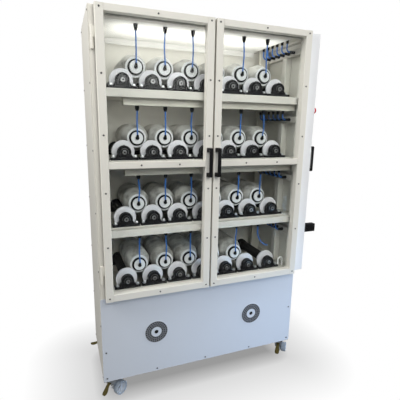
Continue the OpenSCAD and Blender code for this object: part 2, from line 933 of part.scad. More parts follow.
module drive_belts() {
    dx = roller_x(1) - motor_x;
    dz = axis_h + tube + motor_size / 2;
    color(rubber)
        for (k = [0 : tiers - 1]) {
            translate([roller_x(1), row_belt_y + belt_w, axis_z(k)]) rotate([90, 0, 0])
                belt_loop(roller_x(rollers) - roller_x(1));
            translate([motor_x, motor_belt_y + belt_w, motor_z(k)]) rotate([90, 0, 0])
                rotate(atan2(dz, dx)) belt_loop(norm([dx, dz]));
        }
}

// ---- Doors ----

// Everything on the right-hand side, mirrored for the left
module sided(side) {
    mirror([side < 0 ? 1 : 0, 0, 0]) children();
}

module door_frame() {
    color(paint) {
        for (x = [door_x0, door_x1 - stile_w])
            translate([x, 0, door_z0]) capped_tube_z(door_h, stile_w, door_t);
        for (rail = [[door_z0, stile_w], [mid_rail_z - mid_rail_h / 2, mid_rail_h],
                     [door_z1 - top_rail_h, top_rail_h]])
            tube_x(door_x0 + stile_w, door_x1 - stile_w, 0, rail[0], door_t, rail[1]);
        for (z = hinge_zs) {
            translate([hinge_x, hinge_y, z + pin_fit]) difference() {
                cylinder(h = hinge_l / 2, r = knuckle_r);
                translate([0, 0, -1]) cylinder(h = bore_depth + 1, r = hinge_pin_r + pin_fit);
            }
            translate([door_x1 + joint, hinge_y - leaf_t / 2, z + pin_fit])
                cube([hinge_gap + 1, leaf_t, hinge_l / 2]);
        }
    }
}

module door_glass() {
    x0 = door_x0 + stile_w - glass_lap;
    x1 = door_x1 - stile_w + glass_lap;
    low = door_z0 + stile_w - glass_lap;
    mid = mid_rail_z;
    high = door_z1 - top_rail_h + glass_lap;
    gap = 4;
    color(pane) {
        translate([x0, door_t, low]) cube([x1 - x0, glass_t, mid - gap - low]);
        translate([x0, door_t, mid + gap]) cube([x1 - x0, glass_t, high - mid - gap]);
    }
}

// Bridge handle standing on a face, its length along Z and its grip towards -Y
module handle() {
    foot_d = handle_proud - grip_t;
    color(black) {
        for (z = [-handle_l / 2, handle_l / 2 - handle_foot])
            translate([-handle_w / 2, -foot_d, z]) cube([handle_w, foot_d, handle_foot]);
        translate([-grip_w / 2, -handle_proud, -handle_l / 2])
            linear_extrude(handle_l) rounded_rect(grip_w, grip_t, grip_r);
    }
}

module door_handle() {
    translate([handle_x, 0, handle_z]) handle();
}

module left_door_frame() {
    sided(-1) door_frame();
}

module right_door_frame() {
    sided(1) door_frame();
}

module left_door_glass() {
    sided(-1) door_glass();
}

module right_door_glass() {
    sided(1) door_glass();
}

module left_door_handle() {
    sided(-1) door_handle();
}

module right_door_handle() {
    sided(1) door_handle();
}

module door_seals() {
    color(rubber)
        for (side = [-1, 1]) sided(side) {
            for (x = [door_x0, door_x1 - seal_w])
                translate([x, door_t, door_z0]) cube([seal_w, seal_t, door_h]);
            for (z = [door_z0, door_z1 - seal_w])
                translate([door_x0 + seal_w + joint, door_t, z])
                    cube([door_w - 2 * (seal_w + joint), seal_t, seal_w]);
        }
}

// Fixed half of a lift-off hinge: a leaf on the frame, a knuckle and the pin
module hinge_base(z) {
    leaf_w = 8;
    translate([hinge_x, hinge_y, z - hinge_l / 2]) {
        cylinder(h = hinge_l / 2, r = knuckle_r);
        cylinder(h = hinge_pin_l, r = hinge_pin_r);
        translate([-leaf_w / 2, 0, 0]) cube([leaf_w, front_y - hinge_y, hinge_l / 2]);
    }
}

module cover_hinge_base(z) {
    translate([cover_hinge_x, cover_hinge_y, z - hinge_l / 2]) {
        cylinder(h = hinge_l / 2, r = cover_hinge_r);
        cylinder(h = hinge_pin_l, r = hinge_pin_r);
        translate([half_w - cover_hinge_x, -leaf_t, 0])
            cube([cover_hinge_x - half_w, 2 * leaf_t, hinge_l / 2]);
    }
}

module hinge_bases() {
    color(paint) {
        for (side = [-1, 1]) sided(side) for (z = hinge_zs) hinge_base(z);
        for (z = cover_hinge_zs) cover_hinge_base(z);
    }
}

// ---- Side cover ----

module cover_hinge(z) {
    translate([cover_hinge_x, cover_hinge_y, z + pin_fit]) difference() {
        cylinder(h = hinge_l / 2, r = cover_hinge_r);
        translate([0, 0, -1]) cylinder(h = bore_depth + 1, r = hinge_pin_r + pin_fit);
    }
    translate([cover_hinge_x, cover_y1 + joint, z + pin_fit])
        cube([cover_hinge_r, leaf_t, hinge_l / 2]);
}

module button_seat() {
    translate([cover_x1 + joint, cover_control_y, button_z]) rotate([0, 90, 0]) difference() {
        cylinder(h = button_collar, r = button_r + button_rim);
        translate([0, 0, -1]) cylinder(h = button_collar + 2, r = button_stem_r + pin_fit);
    }
}

module side_cover() {
    cover_h = door_z1 - door_z0;
    cover_d = cover_y1 - front_y;
    wall_w = cover_t - cover_wall - joint;
    color(cool_paint) {
        difference() {
            translate([cover_x1 - cover_wall, front_y, door_z0]) cube([cover_wall, cover_d, cover_h]);
            translate([cover_x1 - cover_wall - 1, cover_control_y, button_z]) rotate([0, 90, 0])
                cylinder(h = cover_wall + 2, r = button_stem_r + pin_fit);
        }
        for (y = [front_y, cover_y1 - cover_wall])
            translate([cover_x0, y, door_z0]) cube([wall_w, cover_wall, cover_h]);
        for (z = [door_z0, door_z1 - cover_wall])
            translate([cover_x0, front_y + cover_wall + joint, z])
                cube([wall_w, cover_d - 2 * (cover_wall + joint), cover_wall]);
        for (z = cover_hinge_zs) cover_hinge(z);
    }
    color(black) button_seat();
}

module side_cover_handle() {
    translate([cover_x1, cover_control_y, handle_z]) rotate([0, 0, 90]) handle();
}

module power_inlet() {
    screw_r = 6;
    screw_inset = 3 * screw_r;
    recess = 4;
    color(black) difference() {
        translate([cover_x1, inlet_y, inlet_z - inlet_h / 2]) cube([inlet_l, inlet_w, inlet_h]);
        for (x = [screw_inset, inlet_l - screw_inset])
            rod_y(cover_x1 + x, inlet_y - 1, inlet_y + recess, inlet_z, screw_r);
    }
}

module stop_button() {
    head_x = button_collar + button_travel + 1;
    button_edge = 4;
    color([0.78, 0.10, 0.14])
        translate([cover_x1, cover_control_y, button_z]) rotate([0, 90, 0]) {
            cylinder(h = head_x, r = button_stem_r);
            translate([0, 0, head_x]) rotate_extrude()
                polygon([[0, 0], [button_r - button_rim, 0], [button_r, button_edge],
                         [button_r - button_rim, button_head - button_edge],
                         [button_r - 2 * button_rim, button_head], [0, button_head]]);
        }
}

// ---- Castors ----

module castor_plates() {
    color(steel)
        for (c = castors)
            translate([c[0] * swivel_x, c[1], base_z - castor_plate_t]) {
                translate([-castor_plate[0] / 2, -castor_plate[1] / 2, 0])
                    cube([castor_plate[0], castor_plate[1], castor_plate_t]);
                translate([0, 0, -race_h]) cylinder(h = race_h, r = race_r);
                translate([0, 0, fork_z + 2 - base_z + castor_plate_t])
                    cylinder(h = base_z - fork_z - castor_plate_t, r = kingpin_r);
            }
}

// Swivelling frame of castor c, turned to its heading
module castor_frame(c) {
    translate([c[0] * swivel_x, c[1], 0]) rotate(c[2]) children();
}

module castor_fork(c) {
    cheek_y = wheel_w / 2 + cheek_gap;
    span = 2 * (cheek_y + cheek_t);
    color(steel) castor_frame(c) {
        difference() {
            translate([0, 0, fork_z]) cylinder(h = fork_head_h, r = race_r);
            translate([0, 0, fork_z - 1]) cylinder(h = fork_head_h + 2, r = kingpin_r + pin_fit);
        }
        for (y = [-cheek_y - cheek_t, cheek_y])
            translate([0, y + cheek_t, 0]) rotate([90, 0, 0]) linear_extrude(cheek_t)
                polygon([[pedal_x - cheek_edge, fork_z], [pedal_x - cheek_edge, pedal_z - cheek_edge],
                         [pedal_x + cheek_edge, pedal_z - cheek_edge],
                         [trail - axle_edge, wheel_r - cheek_foot],
                         [trail + axle_edge, wheel_r - cheek_foot],
                         [race_r - cheek_edge, fork_z]]);
        translate([trail, span / 2, wheel_r]) rotate([90, 0, 0]) cylinder(h = span, r = axle_r);
        translate([pedal_x, span / 2, pedal_z]) rotate([90, 0, 0]) cylinder(h = span, r = pedal_pin_r);
    }
}

module castor_wheel(c) {
    tread = 3;
    flare = 2;
    hub_r = 13;
    rim_r = wheel_r - 10;
    bore = axle_r + pin_fit;
    hub_half = wheel_w / 2 + 1;
    half = wheel_w / 2 - 1;
    web_half = half - flare * 2;
    color([0.62, 0.66, 0.70]) castor_frame(c)
        translate([trail, 0, wheel_r]) rotate([90, 0, 0]) rotate_extrude($fn = fine)
            polygon([
                [bore, -hub_half], [hub_r, -hub_half], [hub_r + flare, -web_half],
                [rim_r - flare, -web_half], [rim_r, -half], [wheel_r - tread, -half],
                [wheel_r, tread - half], [wheel_r, half - tread],
                [wheel_r - tread, half], [rim_r, half], [rim_r - flare, web_half],
                [hub_r + flare, web_half], [hub_r, hub_half], [bore, hub_half]
            ]);
}

module castor_pedal(c) {
    toe_x = pedal_toe_l - pedal_l;
    toe_z = pedal_eye_r - pedal_drop;
    color(brass) castor_frame(c)
        translate([pedal_x, pedal_w / 2, pedal_z]) rotate([90, 0, 0]) rotate([0, 0, c[3]])
            linear_extrude(pedal_w) difference() {
                union() {
                    circle(pedal_eye_r);
                    polygon([
                        [0, pedal_eye_r], [-pedal_arm_l, pedal_eye_r], [toe_x, toe_z], [-pedal_l, toe_z],
                        [-pedal_l, toe_z - pedal_t], [toe_x - 1, toe_z - pedal_t],
                        [-pedal_arm_l - 1, pedal_eye_r - pedal_t], [0, 0]
                    ]);
                }
                circle(pedal_pin_r + pin_fit);
            }
}

place() uprights();
place() frame_rails();
place() tier_trays();
place() left_side_panel();
place() right_side_panel();
place() back_panel();
place() top_panel();
place() base_panel();
place() lower_front_panel();
place() vent_grilles();
place() bearing_blocks();
place() upper_rollers();
place() upper_drums();
place() rotary_unions();
place() air_channels();
place() push_in_fittings();
place() air_tubes();
place() spare_tube();
place() drain_hose();
place() gear_motors();
place() drive_belts();
place() door_seals();
place() hinge_bases();
place() castor_plates();
place() air_dryer();
place() control_box();
place() left_door_frame();
place() left_door_glass();
place() left_door_handle();
place() right_door_frame();
place() right_door_glass();
place() right_door_handle();
place() side_cover();
place() side_cover_handle();
place() power_inlet();
place() stop_button();
place() roller(1, 0);  // roller_1
place() roller(2, 0);  // roller_2
place() roller(3, 0);  // roller_3
place() roller(4, 0);  // roller_4
place() roller(5, 0);  // roller_5
place() roller(6, 0);  // roller_6
place() roller(7, 0);  // roller_7
place() drum(1, 0);  // drum_1
place() drum(2, 0);  // drum_2
place() drum(3, 0);  // drum_3
place() drum(4, 0);  // drum_4
place() drum(5, 0);  // drum_5
place() castor_fork(castors[0]);  // front_left_castor_fork
place() castor_wheel(castors[0]);  // front_left_castor_wheel
place() castor_pedal(castors[0]);  // front_left_castor_pedal
place() castor_fork(castors[1]);  // front_right_castor_fork
place() castor_wheel(castors[1]);  // front_right_castor_wheel
place() castor_pedal(castors[1]);  // front_right_castor_pedal
place() castor_fork(castors[2]);  // rear_left_castor_fork
place() castor_wheel(castors[2]);  // rear_left_castor_wheel
place() castor_pedal(castors[2]);  // rear_left_castor_pedal
place() castor_fork(castors[3]);  // rear_right_castor_fork
place() castor_wheel(castors[3]);  // rear_right_castor_wheel
place() castor_pedal(castors[3]);  // rear_right_castor_pedal
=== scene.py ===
import json
import math

import bmesh
import bpy
from mathutils import Matrix, Vector


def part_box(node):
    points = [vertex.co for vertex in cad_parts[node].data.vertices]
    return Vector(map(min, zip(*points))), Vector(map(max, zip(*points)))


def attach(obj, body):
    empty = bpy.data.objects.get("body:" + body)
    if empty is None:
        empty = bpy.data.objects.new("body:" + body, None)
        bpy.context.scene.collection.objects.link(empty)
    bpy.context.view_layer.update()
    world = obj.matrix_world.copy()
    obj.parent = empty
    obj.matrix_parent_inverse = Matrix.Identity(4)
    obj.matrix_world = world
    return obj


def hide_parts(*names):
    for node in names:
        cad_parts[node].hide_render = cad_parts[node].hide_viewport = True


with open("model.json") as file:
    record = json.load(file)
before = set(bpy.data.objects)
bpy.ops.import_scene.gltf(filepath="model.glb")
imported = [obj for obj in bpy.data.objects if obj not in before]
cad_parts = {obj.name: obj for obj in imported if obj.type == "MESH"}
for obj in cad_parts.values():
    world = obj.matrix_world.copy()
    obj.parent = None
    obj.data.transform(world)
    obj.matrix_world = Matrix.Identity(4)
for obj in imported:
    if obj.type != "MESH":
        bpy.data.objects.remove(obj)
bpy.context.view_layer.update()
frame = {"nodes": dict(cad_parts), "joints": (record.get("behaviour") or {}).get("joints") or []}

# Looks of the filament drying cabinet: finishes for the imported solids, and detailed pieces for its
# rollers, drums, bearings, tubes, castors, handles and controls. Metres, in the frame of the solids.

MM = 0.001
MERGE = 0.01 * MM        # vertices closer than this become one
X = Vector((1, 0, 0))
Y = Vector((0, 1, 0))
Z = Vector((0, 0, 1))
ORIGIN = Vector((0, 0, 0))

# ---- Places and sizes taken from the frame ----


def low(node):
    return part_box(node)[0]


def high(node):
    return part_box(node)[1]


def size(node):
    return high(node) - low(node)


def middle(node):
    return (low(node) + high(node)) / 2


def joint(name):
    return next(j for j in frame["joints"] if j["name"] == name)


def pivot(name):
    return Vector(joint(name)["pos_m"])


def axis_of(name):
    return Vector(joint(name)["axis"])


TIERS = 4
ROLLERS = 7
SEATS = ROLLERS - 1
BOTTOM_DRUMS = 5
TIER_NAMES = ("bottom", "second", "third", "top")

ROLLER_X = [pivot(f"roller_{i}_spin").x for i in range(1, ROLLERS + 1)]
ROLLER_PITCH = ROLLER_X[1] - ROLLER_X[0]
DRUM_X = [x + ROLLER_PITCH / 2 for x in ROLLER_X[:-1]]
DISC_R = size("roller_2").x / 2
DRUM_R = size("drum_1").x / 2
TIER_PITCH = (size("upper_rollers").z - 2 * DISC_R) / (TIERS - 2)
AXIS_Z = [pivot("roller_1_spin").z + k * TIER_PITCH for k in range(TIERS)]
DRUM_Z = [pivot("drum_1_spin").z + k * TIER_PITCH for k in range(TIERS)]

SHAFT_FRONT = low("roller_2").y
SHAFT_END = high("roller_2").y
DRIVE_SHAFT_END = high("roller_1").y
BLOCK_W = 38 * MM
BLOCK_YS = (low("bearing_blocks").y + BLOCK_W / 2, high("bearing_blocks").y - BLOCK_W / 2)
BLOCK_L = ROLLER_PITCH - 7 * MM
AXIS_H = 42 * MM
BLOCK_FOOT = 14 * MM
BLOCK_R = 36 * MM
INSERT_R = 27 * MM
HOUSING_W = 32 * MM
BOLT_X = 58 * MM
SHAFT_R = 12.5 * MM
SHAFT_BORE_R = SHAFT_R + 0.1 * MM
DRILL_R = 4.5 * MM
DISC_Y = SHAFT_FRONT + 53 * MM
DISC_T = 14 * MM
SLEEVE_Y = DISC_Y + DISC_T + 3 * MM
SLEEVE_END = BLOCK_YS[1] - 29 * MM
SLEEVE_R = 31 * MM
PULLEY_R = 20 * MM
FLANGE_R = 24 * MM
BELT_W = 12 * MM
PULLEY_YS = (SHAFT_END - BELT_W - 2 * MM, DRIVE_SHAFT_END - BELT_W - 2 * MM)

DRUM_END = high("drum_1").y
NECK_R = 52.5 * MM
RING_L = 12 * MM
SHOULDER = 60 * MM
COLLAR_R = 41 * MM
CAP_R = 32.5 * MM
CAP_PROUD = 6 * MM
COLLAR_L = SLEEVE_Y - DISC_Y - CAP_PROUD
LINE_Y = DISC_Y - 11 * MM
UNION_RISE = 18 * MM
AIR_R = 4 * MM
AIR_BORE_R = AIR_R + 0.1 * MM
FITTING_L = 26 * MM
TOP_STRETCH = 1.6        # the top tier's drop fittings are longer by this factor
WALL_FITTING_L = 35 * MM
WALL_PITCH = 54 * MM
WALL_SETBACK = 10 * MM
CHANNEL_H = (16 * MM, 42 * MM, 42 * MM, 29 * MM)
WALL_DEPTH = (79 * MM, 94 * MM, 94 * MM, 94 * MM)
MID_RAIL_H = 34 * MM
TOP_RAIL_H = 33 * MM
LOOP_R = 20 * MM
POST_INNER_X = high("tier_trays").x
TUBE = 40 * MM


def ceiling(k):
    if k < TIERS - 1:
        return AXIS_Z[k + 1] - AXIS_H - TUBE
    return high("back_panel").z


def channel_foot(k):
    return ceiling(k) - CHANNEL_H[k]


# ---- Shader groups ----


def new_group(name, inputs, outputs):
    tree = bpy.data.node_groups.new(name, "ShaderNodeTree")
    for label, default in inputs:
        socket = tree.interface.new_socket(label, in_out="INPUT", socket_type="NodeSocketFloat")
        socket.default_value = default
    for label in outputs:
        tree.interface.new_socket(label, in_out="OUTPUT", socket_type="NodeSocketFloat")
    return tree, tree.nodes.new("NodeGroupInput"), tree.nodes.new("NodeGroupOutput")


def add_node(tree, kind, settings=None, **inputs):
    """A node with its settings and its inputs, each a value or the socket that feeds it."""
    n = tree.nodes.new(kind)
    for key, value in (settings or {}).items():
        setattr(n, key, value)
    for key, value in inputs.items():
        socket = n.inputs[int(key[1:])] if key[1:].isdigit() else n.inputs[key.replace("_", " ")]
        if isinstance(value, bpy.types.NodeSocket):
            tree.links.new(value, socket)
        else:
            socket.default_value = value
    return n


def object_coordinates(tree):
    return add_node(tree, "ShaderNodeTexCoord").outputs["Object"]


def number_math(tree, operation, *values):
    terms = {f"_{n}": value for n, value in enumerate(values)}
    return add_node(tree, "ShaderNodeMath", {"operation": operation}, **terms).outputs[0]


def vector_math(tree, operation, *values):
    terms = {f"_{n}": value for n, value in enumerate(values)}
    step = add_node(tree, "ShaderNodeVectorMath", {"operation": operation}, **terms)
    return step.outputs["Value" if operation == "LENGTH" else "Vector"]


def map_range(tree, value, **ends):
    return add_node(tree, "ShaderNodeMapRange", Value=value, **ends).outputs["Result"]


def noise(tree, place, scale, detail, roughness):
    return add_node(tree, "ShaderNodeTexNoise", Vector=place, Scale=scale, Detail=detail,
                    Roughness=roughness).outputs["Fac"]


def blend(tree, by, one, other):
    """From one colour to another as by goes from 0 to 1."""
    return add_node(tree, "ShaderNodeMix", {"data_type": "RGBA"}, _0=by, _6=one, _7=other).outputs[2]


def split_rays(tree, rays, usual, instead, output="Material Output"):
    """Shows one kind of ray another shader than the usual one."""
    path = add_node(tree, "ShaderNodeLightPath")
    mix = add_node(tree, "ShaderNodeMixShader", _0=path.outputs[rays], _1=usual.outputs[0],
                   _2=instead.outputs[0])
    tree.links.new(mix.outputs[0], tree.nodes[output].inputs["Surface"])


def coat_group():
    """Powder coat: a fine orange-peel height and a broad, faint mottle."""
    tree, given, out = new_group(
        "powder_coat", [("Peel Scale", 450.0), ("Mottle Scale", 5.0)], ["Height", "Mottle"])
    place = object_coordinates(tree)
    peel = noise(tree, place, given.outputs["Peel Scale"], detail=2.0, roughness=0.5)
    mottle = noise(tree, place, given.outputs["Mottle Scale"], detail=4.0, roughness=0.6)
    tree.links.new(peel, out.inputs["Height"])
    tree.links.new(mottle, out.inputs["Mottle"])
    return tree


def grain_group():
    """Moulded or cast grain: a cellular height over noise, and a mask of rubbed spots."""
    tree, given, out = new_group(
        "cast_grain", [("Grain Scale", 700.0), ("Wear Scale", 30.0), ("Wear", 0.5)], ["Height", "Rubbed"])
    place = object_coordinates(tree)
    cells = add_node(tree, "ShaderNodeTexVoronoi", Vector=place, Scale=given.outputs["Grain Scale"])
    spots = noise(tree, place, given.outputs["Wear Scale"], detail=6.0, roughness=0.65)
    edge = number_math(tree, "SUBTRACT", 1.0, given.outputs["Wear"])
    rubbed = map_range(tree, spots, From_Min=edge, From_Max=1.0)
    tree.links.new(cells.outputs["Distance"], out.inputs["Height"])
    tree.links.new(rubbed, out.inputs["Rubbed"])
    return tree


def streak_group():
    """Drawn or turned metal: noise stretched along one axis by the given amounts."""
    inputs = [("Along X", 1.0), ("Along Y", 1.0), ("Along Z", 1.0), ("Scale", 60.0)]
    tree, given, out = new_group("streaks", inputs, ["Streak", "Height"])
    stretch = add_node(tree, "ShaderNodeCombineXYZ", X=given.outputs["Along X"], Y=given.outputs["Along Y"],
                       Z=given.outputs["Along Z"])
    place = vector_math(tree, "MULTIPLY", object_coordinates(tree), stretch.outputs[0])
    streak = noise(tree, place, given.outputs["Scale"], detail=5.0, roughness=0.7)
    tree.links.new(streak, out.inputs["Streak"])
    tree.links.new(streak, out.inputs["Height"])
    return tree


COAT = coat_group()
GRAIN = grain_group()
STREAKS = streak_group()

# ---- Materials ----


class Finish:
    """One material: a Principled shader, and the group that varies its colour, roughness and height."""

    def __init__(self, name, colour, roughness, group=None, **values):
        self.material = bpy.data.materials.new(name)
        self.material.use_nodes = True
        self.tree = self.material.node_tree
        self.shader = self.tree.nodes["Principled BSDF"]
        self.colour = (*colour, 1.0)
        self.roughness = roughness
        self.shader.inputs["Base Color"].default_value = self.colour
        self.shader.inputs["Roughness"].default_value = roughness
        self.material.diffuse_color = self.colour
        if group:
            self.group = self.tree.nodes.new("ShaderNodeGroup")
            self.group.node_tree = group
            for key, value in values.items():
                self.group.inputs[key.replace("_", " ")].default_value = value

    def set(self, **values):
        for key, value in values.items():
            self.shader.inputs[key.replace("_", " ")].default_value = value
        return self

    def vary(self, mask, colour, roughness, start=0.0, end=1.0):
        """Blends towards another colour and roughness as the group's mask goes from start to end."""
        by = map_range(self.tree, self.group.outputs[mask], From_Min=start, From_Max=end)
        mix = blend(self.tree, by, self.colour, (*colour, 1.0))
        rough = map_range(self.tree, by, To_Min=self.roughness, To_Max=roughness)
        self.tree.links.new(mix, self.shader.inputs["Base Color"])
        self.tree.links.new(rough, self.shader.inputs["Roughness"])
        return self

    def bump(self, distance, strength):
        bump = add_node(self.tree, "ShaderNodeBump", Height=self.group.outputs["Height"], Strength=strength,
                        Distance=distance)
        self.tree.links.new(bump.outputs["Normal"], self.shader.inputs["Normal"])
        return self


COOL_WHITE = (0.65, 0.69, 0.755)
COAT_ROUGHNESS = 0.42


def painted(name, colour, shade):
    darker = [c * shade for c in colour]
    finish = Finish(name, colour, COAT_ROUGHNESS, COAT)
    return finish.vary("Mottle", darker, 0.5).bump(0.00004, 0.5).material


def cast(name, colour, roughness, rubbed, wear, bump=0.0002, scale=700.0):
    """Cast or moulded piece. The near black ones shine less, so that they stay black under the lamps."""
    finish = Finish(name, colour, roughness, GRAIN, Grain_Scale=scale, Wear=wear)
    near_black = 0.04
    if max(colour) < near_black:
        finish.set(Specular_IOR_Level=0.22)
    return finish.vary("Rubbed", rubbed, roughness * 0.7).bump(bump, 0.6).material


def metal(name, colour, roughness, along, shade=0.75, scale=60.0):
    finish = Finish(name, colour, roughness, STREAKS, Along_X=along[0], Along_Y=along[1], Along_Z=along[2],
                    Scale=scale)
    darker = [c * shade for c in colour]
    return finish.set(Metallic=1.0).vary("Streak", darker, roughness * 1.4).bump(0.00003, 0.4).material


def glass_material():
    """Clear float glass. Rays from lamps pass straight through it, so that it lights what is behind."""
    finish = Finish("door_glass", (0.97, 0.99, 0.985), 0.02).set(Transmission_Weight=1.0, IOR=1.2)
    clear = add_node(finish.tree, "ShaderNodeBsdfTransparent", Color=(0.96, 0.98, 0.975, 1.0))
    split_rays(finish.tree, "Is Shadow Ray", finish.shader, clear)
    return finish.material


def grille_material():
    """Coat of the panel, with a ring of painted shade in grey between the holes; the vents stand at even
    sides of the middle.
    """
    finish = Finish("vent_grille", COOL_WHITE, COAT_ROUGHNESS)
    tree = finish.tree
    # edges of the ring of painted shade, from the vent's rim inwards
    shade_ring_out, shade_ring_in, fade = 3 * MM, 39.5 * MM, 0.5 * MM
    vent_r = size("vent_grilles").z / 2
    offset = size("vent_grilles").x / 2 - vent_r
    aside = vector_math(tree, "SUBTRACT", object_coordinates(tree), tuple(middle("vent_grilles")))
    centred = vector_math(tree, "SUBTRACT", vector_math(tree, "ABSOLUTE", aside), (offset, 0, 0))
    radius = vector_math(tree, "LENGTH", vector_math(tree, "MULTIPLY", centred, (1, 0, 1)))
    inside = map_range(tree, radius, From_Min=vent_r - shade_ring_in, From_Max=vent_r - shade_ring_in + fade)
    ring = map_range(tree, radius, From_Min=vent_r - shade_ring_out, From_Max=vent_r - shade_ring_out + fade,
                     To_Min=inside, To_Max=0.0)
    # painted shade: grey for the shadowed perforated ring
    mix = blend(tree, ring, finish.colour, (0.22, 0.23, 0.25, 1.0))
    tree.links.new(mix, finish.shader.inputs["Base Color"])
    return finish.material


PAINT = painted("warm_white_coat", (0.80, 0.785, 0.725), 0.96)
# The tier rails wear the doors' white coat; their colour here is that coat made darker as painted shade
# behind the glass.
RAIL_PAINTED_SHADE = painted("rail_coat_painted_shade", (0.56, 0.54, 0.50), 0.95)
# The trays and the air channels wear the same white coat; their colour here is made darker as painted shade
# inside the tiers.
INNER_PAINTED_SHADE = painted("inner_coat_painted_shade", (0.56, 0.54, 0.475), 0.95)
COOL_PAINT = painted("cool_white_coat", COOL_WHITE, 0.965)
BLOCK_BLACK = cast("black_cast_iron", (0.008, 0.008, 0.010), 0.5, (0.020, 0.020, 0.024), 0.45)
SLEEVE_RUBBER = cast("sleeve_rubber", (0.012, 0.012, 0.012), 0.75, (0.035, 0.033, 0.03), 0.5, scale=1400.0)
SEAL_RUBBER = cast("seal_rubber", (0.03, 0.03, 0.032), 0.6, (0.06, 0.06, 0.06), 0.4)
BELT_RUBBER = cast("belt_rubber", (0.025, 0.025, 0.026), 0.65, (0.05, 0.05, 0.05), 0.45)
DISC_WHITE = cast("white_acetal", (0.66, 0.655, 0.69), 0.38, (0.58, 0.575, 0.61), 0.5, 0.00004, 300.0)
SHELL_MILKY = Finish("drum_shell", (0.50, 0.495, 0.47), 0.4, COAT, Mottle_Scale=13.0).vary(
    "Mottle", (0.22, 0.215, 0.20), 0.5, 0.44, 0.62).bump(0.0001, 0.4).material
CAP_WHITE = cast("white_cap", (0.70, 0.71, 0.72), 0.35, (0.6, 0.61, 0.62), 0.5, 0.00004, 300.0)
GLOSS_BLACK = cast("moulded_black", (0.008, 0.008, 0.009), 0.36, (0.02, 0.02, 0.022), 0.4, 0.0001)
TUBE_BLUE = Finish("blue_polyurethane", (0.035, 0.16, 0.50), 0.28, COAT, Mottle_Scale=40.0).vary(
    "Mottle", (0.02, 0.11, 0.40), 0.34).bump(0.00002, 0.3).material
HOSE_WHITE = cast("white_hose", (0.88, 0.88, 0.87), 0.4, (0.8, 0.8, 0.78), 0.5, 0.00004, 300.0)
GROUND_STEEL = metal("ground_steel", (0.40, 0.40, 0.41), 0.34, (1.0, 30.0, 1.0))
SEAL_BLACK = cast("bearing_seal", (0.012, 0.012, 0.013), 0.5, (0.03, 0.03, 0.03), 0.45, 0.00005)
BRIGHT_ZINC = metal("bright_zinc", (0.88, 0.89, 0.91), 0.38, (4.0, 4.0, 4.0), 0.9)
SHEET_ZINC = metal("zinc_sheet", (0.55, 0.58, 0.62), 0.34, (3.0, 3.0, 3.0), 0.8, 25.0)
ALUMINIUM = metal("cast_aluminium", (0.58, 0.59, 0.61), 0.45, (2.0, 2.0, 2.0), 0.8, 90.0)
PEDAL_BRASS = metal("yellow_passivated", (0.42, 0.34, 0.12), 0.34, (3.0, 3.0, 3.0), 0.45, 30.0)
WHEEL_BLUE = cast("wheel_grey_blue", (0.36, 0.43, 0.52), 0.4, (0.5, 0.55, 0.62), 0.5, 0.00008)
HUB_GREY = cast("wheel_hub", (0.50, 0.54, 0.60), 0.42, (0.4, 0.44, 0.5), 0.5, 0.00006)
STOP_RED = cast("stop_red", (0.55, 0.02, 0.035), 0.3, (0.45, 0.03, 0.04), 0.4, 0.00004)
SCREW_DARK = metal("dark_screw", (0.17, 0.17, 0.18), 0.4, (3.0, 3.0, 3.0), 0.7)
LINING_WHITE = painted("lining_white_coat", (0.70, 0.695, 0.67), 0.97)
COVER_WHITE = painted("bright_white_coat", (0.86, 0.875, 0.90), 0.97)
CASING_GREY = painted("grey_casing", (0.42, 0.44, 0.47), 0.94)
GLASS = glass_material()
GRILLE = grille_material()

NODE_FINISH = {
    RAIL_PAINTED_SHADE: ["frame_rails"],
    PAINT: ["uprights", "left_side_panel", "right_side_panel", "back_panel", "top_panel", "base_panel",
            "hinge_bases", "left_door_frame", "right_door_frame"],
    INNER_PAINTED_SHADE: ["tier_trays", "air_channels"],
    COOL_PAINT: ["lower_front_panel"],
    GRILLE: ["vent_grilles"],
    COVER_WHITE: ["side_cover"],
    SEAL_RUBBER: ["door_seals"],
    CASING_GREY: ["air_dryer", "control_box"],
    GLASS: ["left_door_glass", "right_door_glass"],
    SHEET_ZINC: ["castor_plates"],
    ALUMINIUM: ["gear_motors"],
    BELT_RUBBER: ["drive_belts"],
}


def dress_nodes():
    """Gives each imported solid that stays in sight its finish."""
    for material, nodes in NODE_FINISH.items():
        for name in nodes:
            mesh = frame["nodes"][name].data
            mesh.materials.clear()
            mesh.materials.append(material)


def dress_part(node, material, belongs):
    """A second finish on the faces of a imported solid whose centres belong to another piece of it."""
    mesh = frame["nodes"][node].data
    mesh.materials.append(material)
    for face in mesh.polygons:
        if belongs(face.center):
            face.material_index = 1


def dress_filters_and_lining():
    """The filters lie behind the face of the lower panel, and the ceiling's lining under the roof sheet."""
    panel_face = low("lower_front_panel").y
    under_roof = high("back_panel").z - 5 * MM
    dress_part("vent_grilles", SEAL_BLACK, lambda centre: centre.y > panel_face + 0.1 * MM)
    dress_part("top_panel", LINING_WHITE, lambda centre: centre.z < under_roof)


# ---- Shapes that repeat ----


def mm(*points):
    """Points whose numbers are in millimetres."""
    return [tuple(number * MM for number in point) for point in points]


def new_object(name, data):
    made = bpy.data.objects.new(name, data)
    bpy.context.scene.collection.objects.link(made)
    return made


def settle(piece, body, nodes):
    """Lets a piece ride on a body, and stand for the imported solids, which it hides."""
    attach(piece, body)
    if nodes:
        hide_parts(*nodes)
    return piece


def mesh_from(bm, name):
    mesh = bpy.data.meshes.new(name)
    bm.to_mesh(mesh)
    bm.free()
    return mesh


def finish_piece(name, bm, materials, body, nodes=(), smooth=35):
    """Makes the mesh a piece that rides on a body, with soft shading below the given angle."""
    bmesh.ops.remove_doubles(bm, verts=bm.verts, dist=MERGE)
    mesh = mesh_from(bm, name)
    for m in materials if isinstance(materials, list) else [materials]:
        mesh.materials.append(m)
    mesh.shade_smooth()
    mesh.set_sharp_from_angle(angle=math.radians(smooth))
    return settle(new_object(name, mesh), body, nodes)


